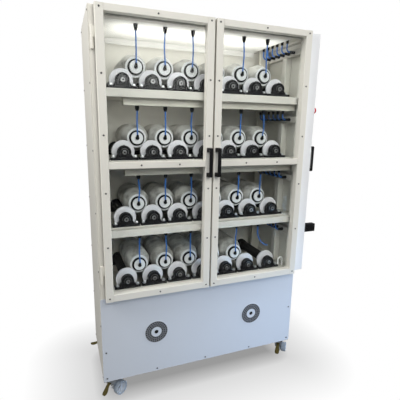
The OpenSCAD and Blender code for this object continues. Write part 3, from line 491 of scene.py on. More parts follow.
def soften(bm, edges, offset, segments=2):
    bmesh.ops.bevel(bm, geom=list(edges), offset=offset, segments=segments, affect="EDGES", profile=0.5,
                    material=-1)


def axes(*columns):
    """The turn that takes X, Y and Z to the given axes."""
    return Matrix(columns).transposed().to_4x4()


def evenly(first, last, count):
    return [first + (last - first) * n / (count - 1) for n in range(count)]


def angles(end, step=15, start=0):
    """Radians for even steps in degrees, from start to end."""
    return [math.radians(a) for a in range(start, end + 1, step)]


def mirrored(profile):
    """The same profile from its other end, on the far side of the middle."""
    return [(r, -a) for r, a in reversed(profile)]


def lathe(bm, profile, centre=ORIGIN, axis=Y, steps=48, index=0):
    """Spins a profile of (radius, distance along the axis) once round the axis through centre."""
    before = set(bm.faces)
    centre = Vector(centre)
    side = X if abs(axis.dot(X)) < 0.9 else Z
    rows = [bm.verts.new(centre + side * r + axis * a) for r, a in profile]
    edges = [bm.edges.new(pair) for pair in zip(rows, rows[1:])]
    bmesh.ops.spin(bm, geom=rows + edges, cent=centre, axis=axis, angle=math.tau, steps=steps,
                   use_merge=True)
    corners = {v for f in bm.faces if f not in before for v in f.verts}
    bmesh.ops.remove_doubles(bm, verts=list(corners), dist=MERGE)
    made = [f for f in bm.faces if f not in before]
    bmesh.ops.recalc_face_normals(bm, faces=made)
    for f in made:
        f.material_index = index


def box(bm, lo, hi, bevel=0.0, segments=2):
    """A block between two corners, with its edges rounded by bevel. Gives its vertices."""
    before = set(bm.verts)
    lo, hi = Vector(lo), Vector(hi)
    verts = bmesh.ops.create_cube(bm, size=1.0)["verts"]
    bmesh.ops.scale(bm, verts=verts, vec=hi - lo)
    bmesh.ops.translate(bm, verts=verts, vec=(lo + hi) / 2)
    if bevel:
        soften(bm, {e for v in verts for e in v.link_edges}, bevel, segments)
    return [v for v in bm.verts if v not in before]


def tapered_box(bm, lo, hi, narrows, share, bevel, segments=2):
    """A block whose vertices that narrows picks come in towards X = 0, with its edges rounded."""
    new = box(bm, lo, hi)
    for v in new:
        if narrows(v.co):
            v.co.x *= share
    soften(bm, {e for v in new for e in v.link_edges}, bevel, segments)


def ribs_round(bm, ribs, lo, hi):
    """Equal blocks in a ring round the Y axis."""
    for n in range(ribs):
        turn = Matrix.Rotation(math.tau * n / ribs, 4, "Y")
        bmesh.ops.transform(bm, matrix=turn, verts=box(bm, lo, hi))


def stamp(bm, mesh, places):
    """Adds a copy of a mesh at each place, a point or a matrix."""
    for place in places:
        before = set(bm.verts)
        bm.from_mesh(mesh)
        matrix = place if isinstance(place, Matrix) else Matrix.Translation(place)
        new = [v for v in bm.verts if v not in before]
        bmesh.ops.transform(bm, matrix=matrix, verts=new)


def stamped(mesh, places):
    bm = bmesh.new()
    stamp(bm, mesh, places)
    return bm


def template(build):
    """A mesh to stamp, built by the given function."""
    bm = bmesh.new()
    build(bm)
    return mesh_from(bm, "template")


# ---- Rollers ----


def shaft_profile(length):
    chamfer = 1.5 * MM
    return [(DRILL_R, 0), (SHAFT_R - chamfer, 0), (SHAFT_R, chamfer), (SHAFT_R, length - chamfer),
            (SHAFT_R - chamfer, length), (0, length)]


def drilling_profile():
    """Centre hole in the front end of a shaft, finished black as painted shade."""
    return [(0, 12 * MM), (DRILL_R, 8 * MM), (DRILL_R, 0)]


def sleeve_profile():
    length = SLEEVE_END - SLEEVE_Y
    edge = 2 * MM
    return [(SHAFT_BORE_R, 0), (SLEEVE_R - edge, 0), (SLEEVE_R, edge), (SLEEVE_R, length - edge),
            (SLEEVE_R - edge, length), (SHAFT_BORE_R, length)]


def disc_profile():
    """Flat white disc with a rounded rim and a shallow step round its hub."""
    hub = 26 * MM
    step = 1 * MM
    rim = 3 * MM
    front = [(SHAFT_BORE_R, 0), (hub, 0), (hub + step, step)]
    corner = [(DISC_R - rim + rim * math.sin(a), step + rim - rim * math.cos(a)) for a in angles(90)]
    return front + corner + [(DISC_R, DISC_T - step), (DISC_R - step, DISC_T), (SHAFT_BORE_R, DISC_T)]


def pulley_template(bm):
    """Belt pulley: a toothed rim between two flanges, its front flange at the origin."""
    teeth = 25
    half_tooth = 0.9 * MM
    flange = 1 * MM
    root = PULLEY_R - 1.2 * MM
    end = flange + BELT_W
    lathe(bm, [(SHAFT_BORE_R, 0), (FLANGE_R - flange, 0), (FLANGE_R, flange / 2),
               (FLANGE_R - flange, flange), (SHAFT_BORE_R, flange)])
    lathe(bm, [(SHAFT_BORE_R, flange), (root, flange), (root, end), (SHAFT_BORE_R, end)])
    ribs_round(bm, teeth, (root - MM, flange, -half_tooth), (PULLEY_R, end, half_tooth))


PULLEY = template(pulley_template)


def roller_parts(places):
    """The four kinds of part on a set of rollers: (name, material, mesh)."""
    shafts, sleeves, discs, pulleys = (bmesh.new() for _ in range(4))
    for x, z, driven in places:
        end = DRIVE_SHAFT_END if driven else SHAFT_END
        lathe(shafts, shaft_profile(end - SHAFT_FRONT), (x, SHAFT_FRONT, z), steps=32)
        # the centre hole takes the black cast-iron finish as painted shade
        lathe(shafts, drilling_profile(), (x, SHAFT_FRONT, z), steps=32, index=1)
        lathe(sleeves, sleeve_profile(), (x, SLEEVE_Y, z))
        lathe(discs, disc_profile(), (x, DISC_Y, z), steps=64)
        ys = PULLEY_YS if driven else PULLEY_YS[:1]
        stamp(pulleys, PULLEY, [(x, y - MM, z) for y in ys])
    return [("shaft", [GROUND_STEEL, BLOCK_BLACK], shafts), ("sleeve", SLEEVE_RUBBER, sleeves),
            ("guide_disc", DISC_WHITE, discs), ("pulley", ALUMINIUM, pulleys)]


def make_rollers():
    for i, x in enumerate(ROLLER_X, 1):
        for part, material, bm in roller_parts([(x, AXIS_Z[0], i == 1)]):
            nodes = [f"roller_{i}"] if part == "sleeve" else ()
            finish_piece(f"roller_{i}_{part}", bm, material, f"spin_roller_{i}", nodes)
    for k in range(1, TIERS):
        places = [(x, AXIS_Z[k], i == 0) for i, x in enumerate(ROLLER_X)]
        for part, material, bm in roller_parts(places):
            nodes = ["upper_rollers"] if part == "sleeve" else ()
            finish_piece(f"{TIER_NAMES[k]}_tier_{part}s", bm, material, "root", nodes)


# ---- Drums ----


def ring_profile():
    """White ring round the mouth of a drum."""
    mouth = COLLAR_R + 0.3 * MM
    edge = 1.5 * MM
    return [(mouth, 4 * MM), (mouth, MM), (mouth + MM, 0), (NECK_R - edge, 0), (NECK_R, edge),
            (NECK_R, RING_L), (NECK_R - MM, RING_L + MM)]


def body_profile():
    """Milky body of a drum behind its ring: rounded shoulder, two bands of shallow ribs, closed back."""
    length = DRUM_END - SLEEVE_Y
    edge = 8 * MM
    rise = DRUM_R - NECK_R
    run = SHOULDER - RING_L
    shoulder = [(NECK_R - MM + (rise + MM) * t ** 0.85, RING_L + MM + (run - MM) * t)
                for t in evenly(0, 1, 6)]
    ribs = []
    for start in (SHOULDER + 12 * MM, length - edge - 34 * MM):
        ribs += [(DRUM_R, start), (DRUM_R - MM, start + MM), (DRUM_R - MM, start + 7 * MM),
                 (DRUM_R, start + 8 * MM)]
    back = [(DRUM_R, length - edge), (DRUM_R - edge * 0.3, length - edge * 0.3), (DRUM_R - edge, length),
            (0, length)]
    return shoulder + ribs + back


def collar_profile():
    edge = 1 * MM
    seat = 4 * MM
    end = COLLAR_L + 3 * MM
    inner = CAP_R + 0.2 * MM
    return [(0, seat), (inner, seat), (inner, edge), (inner + edge, 0), (COLLAR_R - edge, 0),
            (COLLAR_R, edge), (COLLAR_R, end), (0, end)]


def cap_profile():
    """White cap: rounded rim, a shallow ring, and the air nipple at its middle."""
    nipple_r = 5 * MM
    nipple_l = 3.6 * MM
    edge = 1.2 * MM
    ring = 24 * MM
    step = 0.6 * MM
    thick = CAP_PROUD + 3.8 * MM
    return [(0, -nipple_l), (nipple_r - MM, -nipple_l), (nipple_r, MM - nipple_l), (nipple_r, 0),
            (15 * MM, 0), (15.5 * MM, step), (ring, step), (ring + step, 0),
            (CAP_R - edge, 0), (CAP_R, edge), (CAP_R, thick), (0, thick)]


def knurl_template(bm):
    """Grip ribs round a drum's collar, with the collar's front face at the origin."""
    ribs = 36
    half_rib = 1.2 * MM
    proud = 0.8 * MM
    ribs_round(bm, ribs, (COLLAR_R - MM, 2 * MM, -half_rib), (COLLAR_R + proud, COLLAR_L - MM, half_rib))


KNURL = template(knurl_template)


def drum_parts(places):
    shells, collars, caps = (bmesh.new() for _ in range(3))
    for x, z in places:
        front = (x, DISC_Y + CAP_PROUD, z)
        lathe(shells, body_profile(), (x, SLEEVE_Y, z), steps=64)
        lathe(shells, ring_profile(), (x, SLEEVE_Y, z), steps=64, index=1)
        lathe(collars, collar_profile(), front)
        stamp(collars, KNURL, [front])
        lathe(caps, cap_profile(), (x, DISC_Y, z))
    return [("shell", [SHELL_MILKY, CAP_WHITE], shells), ("collar", GLOSS_BLACK, collars),
            ("cap", CAP_WHITE, caps)]


def make_drums():
    for i in range(BOTTOM_DRUMS):
        for part, material, bm in drum_parts([(DRUM_X[i], DRUM_Z[0])]):
            nodes = [f"drum_{i + 1}"] if part == "shell" else ()
            finish_piece(f"drum_{i + 1}_{part}", bm, material, f"spin_drum_{i + 1}", nodes)
    for k in range(1, TIERS):
        for part, material, bm in drum_parts([(x, DRUM_Z[k]) for x in DRUM_X]):
            nodes = ["upper_drums"] if part == "shell" else ()
            finish_piece(f"{TIER_NAMES[k]}_tier_drum_{part}s", bm, material, "root", nodes)


# ---- Bearing blocks ----


def housing_template(bm):
    """Cast pillow block about its bore, with the shaft along Y: foot, flared arch and face rings."""
    half = HOUSING_W / 2
    edge = 2 * MM
    foot_top = BLOCK_FOOT - AXIS_H
    box(bm, (-BLOCK_L / 2, -BLOCK_W / 2, -AXIS_H), (BLOCK_L / 2, BLOCK_W / 2, foot_top), 3 * MM)
    front = [(INSERT_R, 3 * MM - half), (INSERT_R, -half), (BLOCK_R - edge, -half), (BLOCK_R, edge - half)]
    lathe(bm, front + mirrored(front))
    shoulder = 48 * MM
    tapered_box(bm, (-shoulder, -half + MM, foot_top - MM), (shoulder, half - MM, -8 * MM),
                lambda place: place.z > foot_top, 0.72, edge)
    # grease nipple on the crown
    lathe(bm, mm((0, 4), (1.6, 4), (2.6, 2), (2.6, -1), (0, -1)), Z * (BLOCK_R - 0.5 * MM), axis=Z, steps=10)


def insert_template(bm):
    """Bearing insert: black seal between a thin bright outer ring and the inner ring on the shaft."""
    half = HOUSING_W / 2
    for side in (-1, 1):
        seal = mm((27, -3), (25.5, -1), (23.5, -1), (23, -2.5), (17, -2.5))
        bright = mm((21.5, -2.6), (21.2, -1.6), (20, -1.6), (19.7, -2.6))
        ring = mm((17, -3), (16.5, 2), (15.5, 2.6)) + [(SHAFT_BORE_R, 2.6 * MM)]
        for index, profile in ((0, seal), (1, bright), (0, ring)):
            lathe(bm, [(r, side * (half + a)) for r, a in profile], index=index)


def bolt_template(bm):
    """Washer and hexagon bolt standing on Z = 0."""
    lathe(bm, mm((0, 0), (11, 0), (11, 1.6), (10, 2), (0, 2)), axis=Z, steps=20)
    lathe(bm, mm((0, 2), (9, 2), (9, 10), (8, 11.5), (0, 11.5)), axis=Z, steps=6)


HOUSING = template(housing_template)
INSERT = template(insert_template)
BOLT = template(bolt_template)


def make_bearings():
    for k in range(TIERS):
        spots = [Vector((x, y, AXIS_Z[k])) for x in ROLLER_X for y in BLOCK_YS]
        foot = Vector((0, 0, BLOCK_FOOT - AXIS_H))
        bolts = [s + foot + X * side * BOLT_X for s in spots for side in (-1, 1)]
        tier = TIER_NAMES[k] + "_tier_"
        finish_piece(tier + "bearing_blocks", stamped(HOUSING, spots), BLOCK_BLACK, "root",
                     ["bearing_blocks"])
        finish_piece(tier + "bearing_inserts", stamped(INSERT, spots), [SEAL_BLACK, GROUND_STEEL], "root")
        finish_piece(tier + "bearing_bolts", stamped(BOLT, bolts), BRIGHT_ZINC, "root")


# ---- Air lines ----


def curve_tube(name, routes, radius, material, node):
    """Round tube along each route of points, as one curve object on the root."""
    curve = bpy.data.curves.new(name, "CURVE")
    curve.dimensions = "3D"
    curve.bevel_depth = radius
    curve.bevel_resolution = 3
    curve.use_fill_caps = True
    for route in routes:
        spline = curve.splines.new("POLY")
        spline.points.add(len(route) - 1)
        for point, place in zip(spline.points, route):
            point.co = (*place, 1.0)
        spline.use_smooth = True
    curve.materials.append(material)
    return settle(new_object(name, curve), "root", [node])


def drop_route(k, i):
    """A drop tube hangs almost straight: a slight bow, different at each seat."""
    top = Vector((DRUM_X[i], LINE_Y, channel_foot(k) - FITTING_L + 4 * MM))
    foot = Vector((DRUM_X[i], LINE_Y, DRUM_Z[k] + UNION_RISE - 4 * MM))
    bow = (2.5 + 2.0 * math.sin(2.1 * i + 1.7 * k)) * MM * (1 if (i + k) % 2 else -1)
    return [top.lerp(foot, t) + X * bow * math.sin(math.pi * t) ** 2 for t in evenly(0, 1, 17)]


def wall_y(j):
    return low("tier_trays").y + WALL_SETBACK + j * WALL_PITCH


def wall_z(k):
    return ceiling(k) - WALL_DEPTH[k]


def loop_route(k, j):
    """From the wall fitting out and up in a quarter turn to the fitting under the duct."""
    start = Vector((POST_INNER_X - WALL_FITTING_L, wall_y(j), wall_z(k)))
    centre = start + Z * LOOP_R
    turn = [centre + Vector((-math.sin(a), 0, -math.cos(a))) * LOOP_R for a in angles(90, 10)]
    head = Vector((turn[-1].x, turn[-1].y, channel_foot(k) - 18 * MM))
    return [start + X * 4 * MM] + turn + [head]


def union_template(bm):
    """Black elbow on a drum's nipple: a knurled nut, the elbow's ball and its neck."""
    nut = mm((6, -0.3), (9, -0.3), (10, -1.3), (10, -9), (9, -10), (7, -11))
    ball = [(7 * MM * math.cos(a), -13 * MM - 7.8 * MM * math.sin(a)) for a in angles(90)]
    lathe(bm, nut + ball, steps=24)
    neck = mm((0, 0), (6, 0), (7, 1), (7, 13), (6, 14), (6, 17), (5, 18))
    lathe(bm, neck + [(AIR_BORE_R, UNION_RISE), (AIR_BORE_R, UNION_RISE - 6 * MM)], Y * (LINE_Y - DISC_Y),
          axis=Z, steps=24)


def fitting_template(bm):
    """Straight push-in fitting hanging below Z = 0: hexagon, barrel, release ring."""
    lathe(bm, mm((0, 0), (12, 0), (12, -8), (0, -8)), axis=Z, steps=6)
    barrel = mm((0, -7), (11, -7), (11.3, -9), (10.5, -18), (9, -20), (8, -21), (8, -25), (7, -26))
    lathe(bm, barrel + [(AIR_BORE_R, -FITTING_L), (AIR_BORE_R, -FITTING_L + 4 * MM)], axis=Z, steps=24)


def wall_fitting_template(bm):
    """Push-in fitting on the side wall, standing out from it towards -X."""
    lathe(bm, mm((0, 0), (10, 0), (10, 9), (0, 9)), axis=-X, steps=6)
    barrel = mm((0, 8), (8, 8), (8.5, 10), (8.5, 28), (7.5, 29), (6.5, 29), (6.5, 34), (5.5, 35))
    bore = [(AIR_BORE_R, WALL_FITTING_L), (AIR_BORE_R, WALL_FITTING_L - 5 * MM)]
    lathe(bm, barrel + bore, axis=-X, steps=24)


def top_fitting_template(bm):
    """Short push-in fitting under the side duct."""
    barrel = mm((0, 0), (9, 0), (9, -7), (8, -8), (8, -16), (6.5, -17), (6.5, -19), (5.5, -20))
    lathe(bm, barrel + [(AIR_BORE_R, -20 * MM), (AIR_BORE_R, -15 * MM)], axis=Z, steps=24)


def make_air_lines():
    unions, fittings = bmesh.new(), bmesh.new()
    union, drop = template(union_template), template(fitting_template)
    wall, top = template(wall_fitting_template), template(top_fitting_template)
    routes = []
    for k in range(TIERS):
        filled = BOTTOM_DRUMS if k == 0 else SEATS
        stamp(unions, union, [(x, DISC_Y, DRUM_Z[k]) for x in DRUM_X[:filled]])
        reach = Matrix.Diagonal((1, 1, TOP_STRETCH if k == TIERS - 1 else 1, 1))
        stamp(fittings, drop, [Matrix.Translation((x, LINE_Y, channel_foot(k))) @ reach for x in DRUM_X])
        routes += [drop_route(k, i) for i in range(filled)]
        for j in range(SEATS):
            stamp(fittings, wall, [(POST_INNER_X, wall_y(j), wall_z(k))])
            stamp(fittings, top, [(POST_INNER_X - WALL_FITTING_L - LOOP_R, wall_y(j), channel_foot(k))])
            routes.append(loop_route(k, j))
    finish_piece("drum_elbows", unions, GLOSS_BLACK, "root", ["rotary_unions"])
    finish_piece("air_fittings", fittings, GLOSS_BLACK, "root", ["push_in_fittings"])
    curve_tube("blue_air_tubes", routes, AIR_R, TUBE_BLUE, "air_tubes")


SPARE_ROUTE = [
    (0, 0, 0), (0, 0, -12), (0, 0, -24), (0, 0, -36), (1, 0, -47), (3, 0, -58), (7, 0, -70),
    (12, 0, -81), (18, 0, -91), (25, 0, -101), (33, 0, -110), (41, 0, -118), (50, 0, -125),
    (59, 0, -130), (69, 0, -134), (79, 0, -136),
]


def make_spare_tube():
    """The free end of the line at the empty seat."""
    start = Vector((DRUM_X[-1], LINE_Y, channel_foot(0) - FITTING_L))
    route = [start + Vector(p) * MM for p in SPARE_ROUTE]
    tube = curve_tube("spare_air_tube", [route], AIR_R, TUBE_BLUE, "spare_tube")


def make_drain_hose():
    foot = low("drain_hose").z
    r = size("drain_hose").y / 2
    bend = size("drain_hose").x / 2 - r
    centre = middle("drain_hose")
    centre.z = high("drain_hose").z - r - bend
    arch = [centre + Vector((math.cos(a), 0, math.sin(a))) * bend for a in angles(180, 10)]
    route = [Vector((arch[0].x, centre.y, foot))] + arch + [Vector((arch[-1].x, centre.y, foot))]
    curve_tube("white_drain_hose", [route], r, HOSE_WHITE, "drain_hose")


# ---- Handles ----


def handle_mesh(bm):
    """Bridge handle on the plane Y = 0: grip towards -Y, rounded at both ends, with a foot at each."""
    lo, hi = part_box("left_door_handle")
    half_l = (hi.z - lo.z) / 2
    proud = hi.y - lo.y
    foot = 24 * MM
    grip_t = 13 * MM
    half_foot = (hi.x - lo.x) / 2
    half_grip = 10 * MM
    box(bm, (-half_grip, -proud, -half_l + MM), (half_grip, -proud + grip_t, half_l - MM), 6 * MM, 5)
    for side in (-1, 1):
        z0, z1 = sorted((side * (half_l - foot), side * half_l))
        box(bm, (-half_foot, -7 * MM, z0), (half_foot, 0, z1), 2.5 * MM, 3)
        tapered_box(bm, (-half_foot + MM, -proud + 5 * MM, z0 + MM), (half_foot - MM, -5 * MM, z1 - 0.5 * MM),
                    lambda place: place.y < -proud / 2, 0.74, 2.5 * MM, 3)
        # blind plug over the fixing screw
        lathe(bm, mm((0, -1), (4.5, -1), (5.5, 0), (5.5, 1)), (0, -proud, side * (half_l - foot / 2)),
              steps=20)


HANDLE = template(handle_mesh)


def make_handles():
    spots = {
        "left_door_handle": ("left_door", 0),
        "right_door_handle": ("right_door", 0),
        "side_cover_handle": ("service_cover", math.pi / 2),
    }
    for node, (body, angle) in spots.items():
        place = middle(node)
        if angle:
            place.x = low(node).x
        else:
            place.y = high(node).y
        grip = stamped(HANDLE, [Matrix.Translation(place) @ Matrix.Rotation(angle, 4, "Z")])
        finish_piece(node + "_grip", grip, GLOSS_BLACK, body, [node], smooth=50)


# ---- Hinges ----


def make_hinge_leaves():
    """Leaf of each door hinge, and the cap on its knuckle."""
    from_end = 144 * MM
    leaf_h = 49 * MM
    near, far = 1 * MM, 12.7 * MM        # a leaf's edges, from its pin
    for side, sign in (("left", -1), ("right", 1)):
        pin = pivot(side + "_door_hinge")
        lo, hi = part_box(side + "_door_frame")
        x0, x1 = sorted((pin.x - sign * near, pin.x - sign * far))
        bm = bmesh.new()
        for z in (lo.z + from_end, hi.z - from_end):
            box(bm, (x0, pin.y - 7.5 * MM, z + 0.6 * MM), (x1, pin.y + 1.5 * MM, z + leaf_h), 1.2 * MM)
            lathe(bm, mm((0, 0), (8.6, 0), (8.6, 3), (7.6, 4), (0, 4)), (pin.x, pin.y, z + leaf_h),
                  axis=Z, steps=24)
        finish_piece(side + "_door_hinge_leaves", bm, PAINT, side + "_door")


# ---- Screws ----


def screw_template(bm):
    """Button-head socket screw on the plane Y = 0, its head towards -Y."""
    lathe(bm, mm((0, -0.8), (2, -0.8), (2, -2.4), (3, -2.3), (4.3, -1.4), (4.8, 0)), steps=12)


SCREW = template(screw_template)


def make_screws(name, body, places):
    finish_piece(name, stamped(SCREW, places), SCREW_DARK, body)


def make_door_screws():
    foot_rail = 40 * MM
    from_glass = 4 * MM
    for side in ("left", "right"):
        lo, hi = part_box(side + "_door_glass")
        door_lo, door_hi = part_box(side + "_door_frame")
        x0, x1 = lo.x - from_glass, hi.x + from_glass
        z0, z1 = door_lo.z + foot_rail / 2, door_hi.z - TOP_RAIL_H / 2
        mid = AXIS_Z[2] - AXIS_H - MID_RAIL_H / 2
        spots = [(x, z) for x in evenly(x0, x1, 3) for z in (z0, z1)]
        spots += [(x0 + (x1 - x0) * t, mid) for t in (0.33, 0.70)]
        spots += [(x, z) for x in (x0, x1) for z in evenly(z0, z1, 6)[1:-1]]
        make_screws(side + "_door_screws", side + "_door", [(x, door_lo.y, z) for x, z in spots])


def make_panel_screws():
    """Screws along the edges of the lower front panel, the back panel and the side panels. The right
    side panel shows its screws only below the side cover."""
    inset = 20 * MM
    lo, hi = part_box("lower_front_panel")
    tall = hi.z - lo.z
    spots = [(x, lo.z + inset) for x in (lo.x + inset, hi.x - inset)]
    spots += [(lo.x + inset, lo.z + 0.36 * tall), (hi.x - inset, lo.z + 0.49 * tall)]
    spots += [(x, lo.z + 14 * MM) for x in evenly(lo.x, hi.x, 5)[1:-1]]
    make_screws("lower_panel_screws", "root", [(x, lo.y, z) for x, z in spots])
    lo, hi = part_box("back_panel")
    turn = Matrix.Rotation(math.pi, 4, "Z")
    xs = evenly(lo.x + inset, hi.x - inset, 5)
    zs = evenly(lo.z + inset, hi.z - inset, 8)
    spots = [(x, z) for x in xs for z in (zs[0], zs[-1])]
    spots += [(x, z) for x in (xs[0], xs[-1]) for z in zs[1:-1]]
    make_screws("back_panel_screws", "root", [Matrix.Translation((x, hi.y, z)) @ turn for x, z in spots])
    places = []
    for node, sign in (("left_side_panel", -1), ("right_side_panel", 1)):
        lo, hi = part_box(node)
        x, top = (hi.x, low("side_cover").z - inset) if sign > 0 else (lo.x, hi.z)
        turn = Matrix.Rotation(sign * math.pi / 2, 4, "Z")
        zs = [z for z in evenly(lo.z + inset, hi.z - inset, 7) if z <= top]
        places += [Matrix.Translation((x, y, z)) @ turn for y in (lo.y + inset, hi.y - inset) for z in zs]
    make_screws("side_panel_screws", "root", places)


# ---- Side cover controls ----


def make_stop_button():
    centre = middle("stop_button")
    centre.x = low("stop_button").x
    r = size("stop_button").z / 2
    reach = size("stop_button").x
    head = reach - 14 * MM
    dome_rise = 6 * MM
    dome_r = 0.92 * r
    bm = bmesh.new()
    stem = [(0, 0), (8 * MM, 0), (8 * MM, head)]
    rim = [(r - 3 * MM, head), (r, head + 3 * MM), (r, reach - 6.5 * MM)]
    dome = [(dome_r * math.cos(a), reach + dome_rise * (math.sin(a) - 1)) for a in angles(90, 18, 18)]
    lathe(bm, stem + rim + dome, centre, axis=X)
    finish_piece("stop_button_head", bm, STOP_RED, "stop_button_head", ["stop_button"])


def make_power_inlet():
    """Black connector housing, with a lid line and two round sockets on its front."""
    lo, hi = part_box("power_inlet")
    lip = 1.2 * MM
    rim = Vector((4 * MM, 0, 4 * MM))
    from_end = 20 * MM
    bm = bmesh.new()
    box(bm, lo + Y * 3 * MM, hi, 3 * MM, 3)
    box(bm, lo + rim + Y * 1.5 * MM, Vector((hi.x, lo.y + 5 * MM, hi.z)) - rim, lip)
    for x in (lo.x + from_end, hi.x - from_end):
        lathe(bm, mm((7, 5), (7, 1.2), (8, 0), (10, 0), (11, 1.2), (11, 3)),
              (x, lo.y, middle("power_inlet").z), steps=24)
    finish_piece("power_inlet_housing", bm, GLOSS_BLACK, "service_cover", ["power_inlet"])


# ---- Castors ----

# Slope of each castor's brake pedal at rest, in degrees downwards.
PEDAL_SLOPES = {"front_left": 45, "front_right": 40, "rear_left": 0, "rear_right": 0}
WHEEL_R = 50 * MM
WHEEL_W = 32 * MM


def heading(corner):
    """A castor's axes: ahead from the swivel to the wheel, along the axle, and up."""
    ahead = pivot(corner + "_wheel_roll") - pivot(corner + "_castor_swivel")
    ahead.z = 0
    return axes(ahead.normalized(), axis_of(corner + "_wheel_roll"), Z)


def make_wheel(corner):
    centre = pivot(corner + "_wheel_roll")
    axis = axis_of(corner + "_wheel_roll")
    half = WHEEL_W / 2
    tread = bmesh.new()
    inner = WHEEL_R - 11 * MM
    crown = [(WHEEL_R - 4 * MM + 4 * MM * math.sin(a), half - 4.8 * MM + 4 * MM * math.cos(a))
             for a in angles(90)]
    outline = [(inner, half - 2.5 * MM)] + crown
    lathe(tread, outline + mirrored(outline), centre, axis=axis, steps=64)
    finish_piece(corner + "_wheel_tread", tread, WHEEL_BLUE, corner + "_wheel", [corner + "_castor_wheel"])
    hub = bmesh.new()
    face = mm((5.1, 0.8), (12, 0.8), (14, -1), (16, -7), (34, -7), (37, -2.5))
    side = [(r, half + a) for r, a in face] + [(inner + 0.2 * MM, half - 2.5 * MM)]
    lathe(hub, side + mirrored(side), centre, axis=axis, steps=64)
    spokes = 6
    across = axis.cross(Z).normalized()
    basis = axes(across, axis, across.cross(axis))
    for n in range(spokes):
        new = box(hub, (14 * MM, -half + 3 * MM, -2 * MM), (36 * MM, half - 3 * MM, 2 * MM), 0.8 * MM)
        turn = Matrix.Rotation(math.tau * n / spokes, 4, axis)
        bmesh.ops.transform(hub, matrix=Matrix.Translation(centre) @ turn @ basis, verts=new)
    finish_piece(corner + "_wheel_hub", hub, HUB_GREY, corner + "_wheel")


def make_fork(corner):
    """Pressed fork: a round head with a raised race, two tapered cheeks, and the axle's nut and head."""
    swivel = pivot(corner + "_castor_swivel")
    wheel = pivot(corner + "_wheel_roll")
    pedal = pivot(corner + "_brake_pedal")
    place = Matrix.Translation((swivel.x, swivel.y, 0)) @ heading(corner)
    fork_z = wheel.z + 59.5 * MM
    trail = (wheel - Vector((swivel.x, swivel.y, wheel.z))).length
    bm = bmesh.new()
    lathe(bm, mm((7.1, 0), (26, 0), (29, 3), (29, 9), (26, 12), (7.1, 12)), Z * fork_z, axis=Z)
    cheek_y = WHEEL_W / 2 + 1.5 * MM
    cheek_t = 4 * MM
    back = [(x, fork_z + z) for x, z in mm((-27, 2), (-27, -17), (-12, -19))]
    axle = [(trail + x, wheel.z + z) for x, z in mm((-12, -4), (-6, -10), (6, -10), (12, -3), (9, 10))]
    outline = back + axle + [(23 * MM, fork_z + 2 * MM)]
    for side in (-1, 1):
        before = set(bm.faces)
        y = side * cheek_y
        face = bm.faces.new([bm.verts.new((x, y, z)) for x, z in outline])
        grown = bmesh.ops.extrude_face_region(bm, geom=[face])
        moved = [g for g in grown["geom"] if isinstance(g, bmesh.types.BMVert)]
        bmesh.ops.translate(bm, verts=moved, vec=(0, side * cheek_t, 0))
        made = [f for f in bm.faces if f not in before]
        bmesh.ops.recalc_face_normals(bm, faces=made)
        soften(bm, {e for f in made for e in f.edges}, 0.8 * MM)
        outer = side * (cheek_y + cheek_t)
        lathe(bm, [(0, outer), (8 * MM, outer), (8 * MM, outer - side * 0.5 * MM)], (trail, 0, wheel.z),
              steps=6)
    bmesh.ops.transform(bm, matrix=place, verts=bm.verts)
    half_span = cheek_y + cheek_t
    pin = bmesh.new()
    for x, z, r in ((trail, wheel.z, 5 * MM), (-20 * MM, pedal.z, 3 * MM)):
        lathe(pin, [(0, -half_span), (r, -half_span), (r, half_span), (0, half_span)], (x, 0, z), steps=24)
    bmesh.ops.transform(pin, matrix=place, verts=pin.verts)
    finish_piece(corner + "_fork", bm, SHEET_ZINC, corner + "_castor", [corner + "_castor_fork"])
    finish_piece(corner + "_axle_pins", pin, BRIGHT_ZINC, corner + "_castor")


# Stations of a pedal in millimetres: distance ahead of its pin, height above it, half width.
# Distance and width are then grown alike.
PEDAL_PATH = [(4, 3.5, 8), (-6, 5, 8.5), (-16, 5, 9), (-24, 3.2, 10), (-31, 0.6, 11.5), (-38, -0.8, 12.5),
              (-46, -1.2, 13), (-53, -0.4, 12.5), (-58.5, 1.2, 10), (-62, 3.2, 6)]
PEDAL_GROWTH = 1.15


def make_pedal(corner):
    """Pressed brake pedal: an eye on its pin, an arm that steps down, and a wide curled toe."""
    pin = pivot(corner + "_brake_pedal")
    slope = Matrix.Rotation(-math.radians(PEDAL_SLOPES[corner]), 4, "Y")
    half_t = 1.8 * MM
    bm = bmesh.new()
    points = [Vector((x * PEDAL_GROWTH, 0, z)) * MM for x, z, _ in PEDAL_PATH]
    rings = []
    for n, p in enumerate(points):
        along = (points[min(n + 1, len(points) - 1)] - points[max(n - 1, 0)]).normalized()
        up = Vector((-along.z, 0, along.x)) * half_t
        wide = Y * PEDAL_PATH[n][2] * PEDAL_GROWTH * MM
        rings.append([bm.verts.new(p + q) for q in (up - wide, up + wide, -up + wide, -up - wide)])
    for a, b in zip(rings, rings[1:]):
        for n in range(4):
            m = (n + 1) % 4
            bm.faces.new((a[n], a[m], b[m], b[n]))
    bm.faces.new(rings[0])
    bm.faces.new(rings[-1])
    bmesh.ops.recalc_face_normals(bm, faces=bm.faces)
    sharp = 0.9
    soften(bm, [e for e in bm.edges if e.calc_face_angle(0) > sharp], 0.7 * MM)
    lathe(bm, mm((3.1, -12), (6, -12), (6, 12), (3.1, 12)), steps=24)
    bmesh.ops.transform(bm, matrix=Matrix.Translation(pin) @ heading(corner) @ slope, verts=bm.verts)
    bmesh.ops.recalc_face_normals(bm, faces=bm.faces)
    finish_piece(corner + "_brake_pedal_plate", bm, PEDAL_BRASS, corner + "_pedal",
                 [corner + "_castor_pedal"], smooth=50)


def make_castors():
    for corner in PEDAL_SLOPES:
        make_wheel(corner)
        make_fork(corner)
        make_pedal(corner)


# ---- Stage, lamps and camera ----

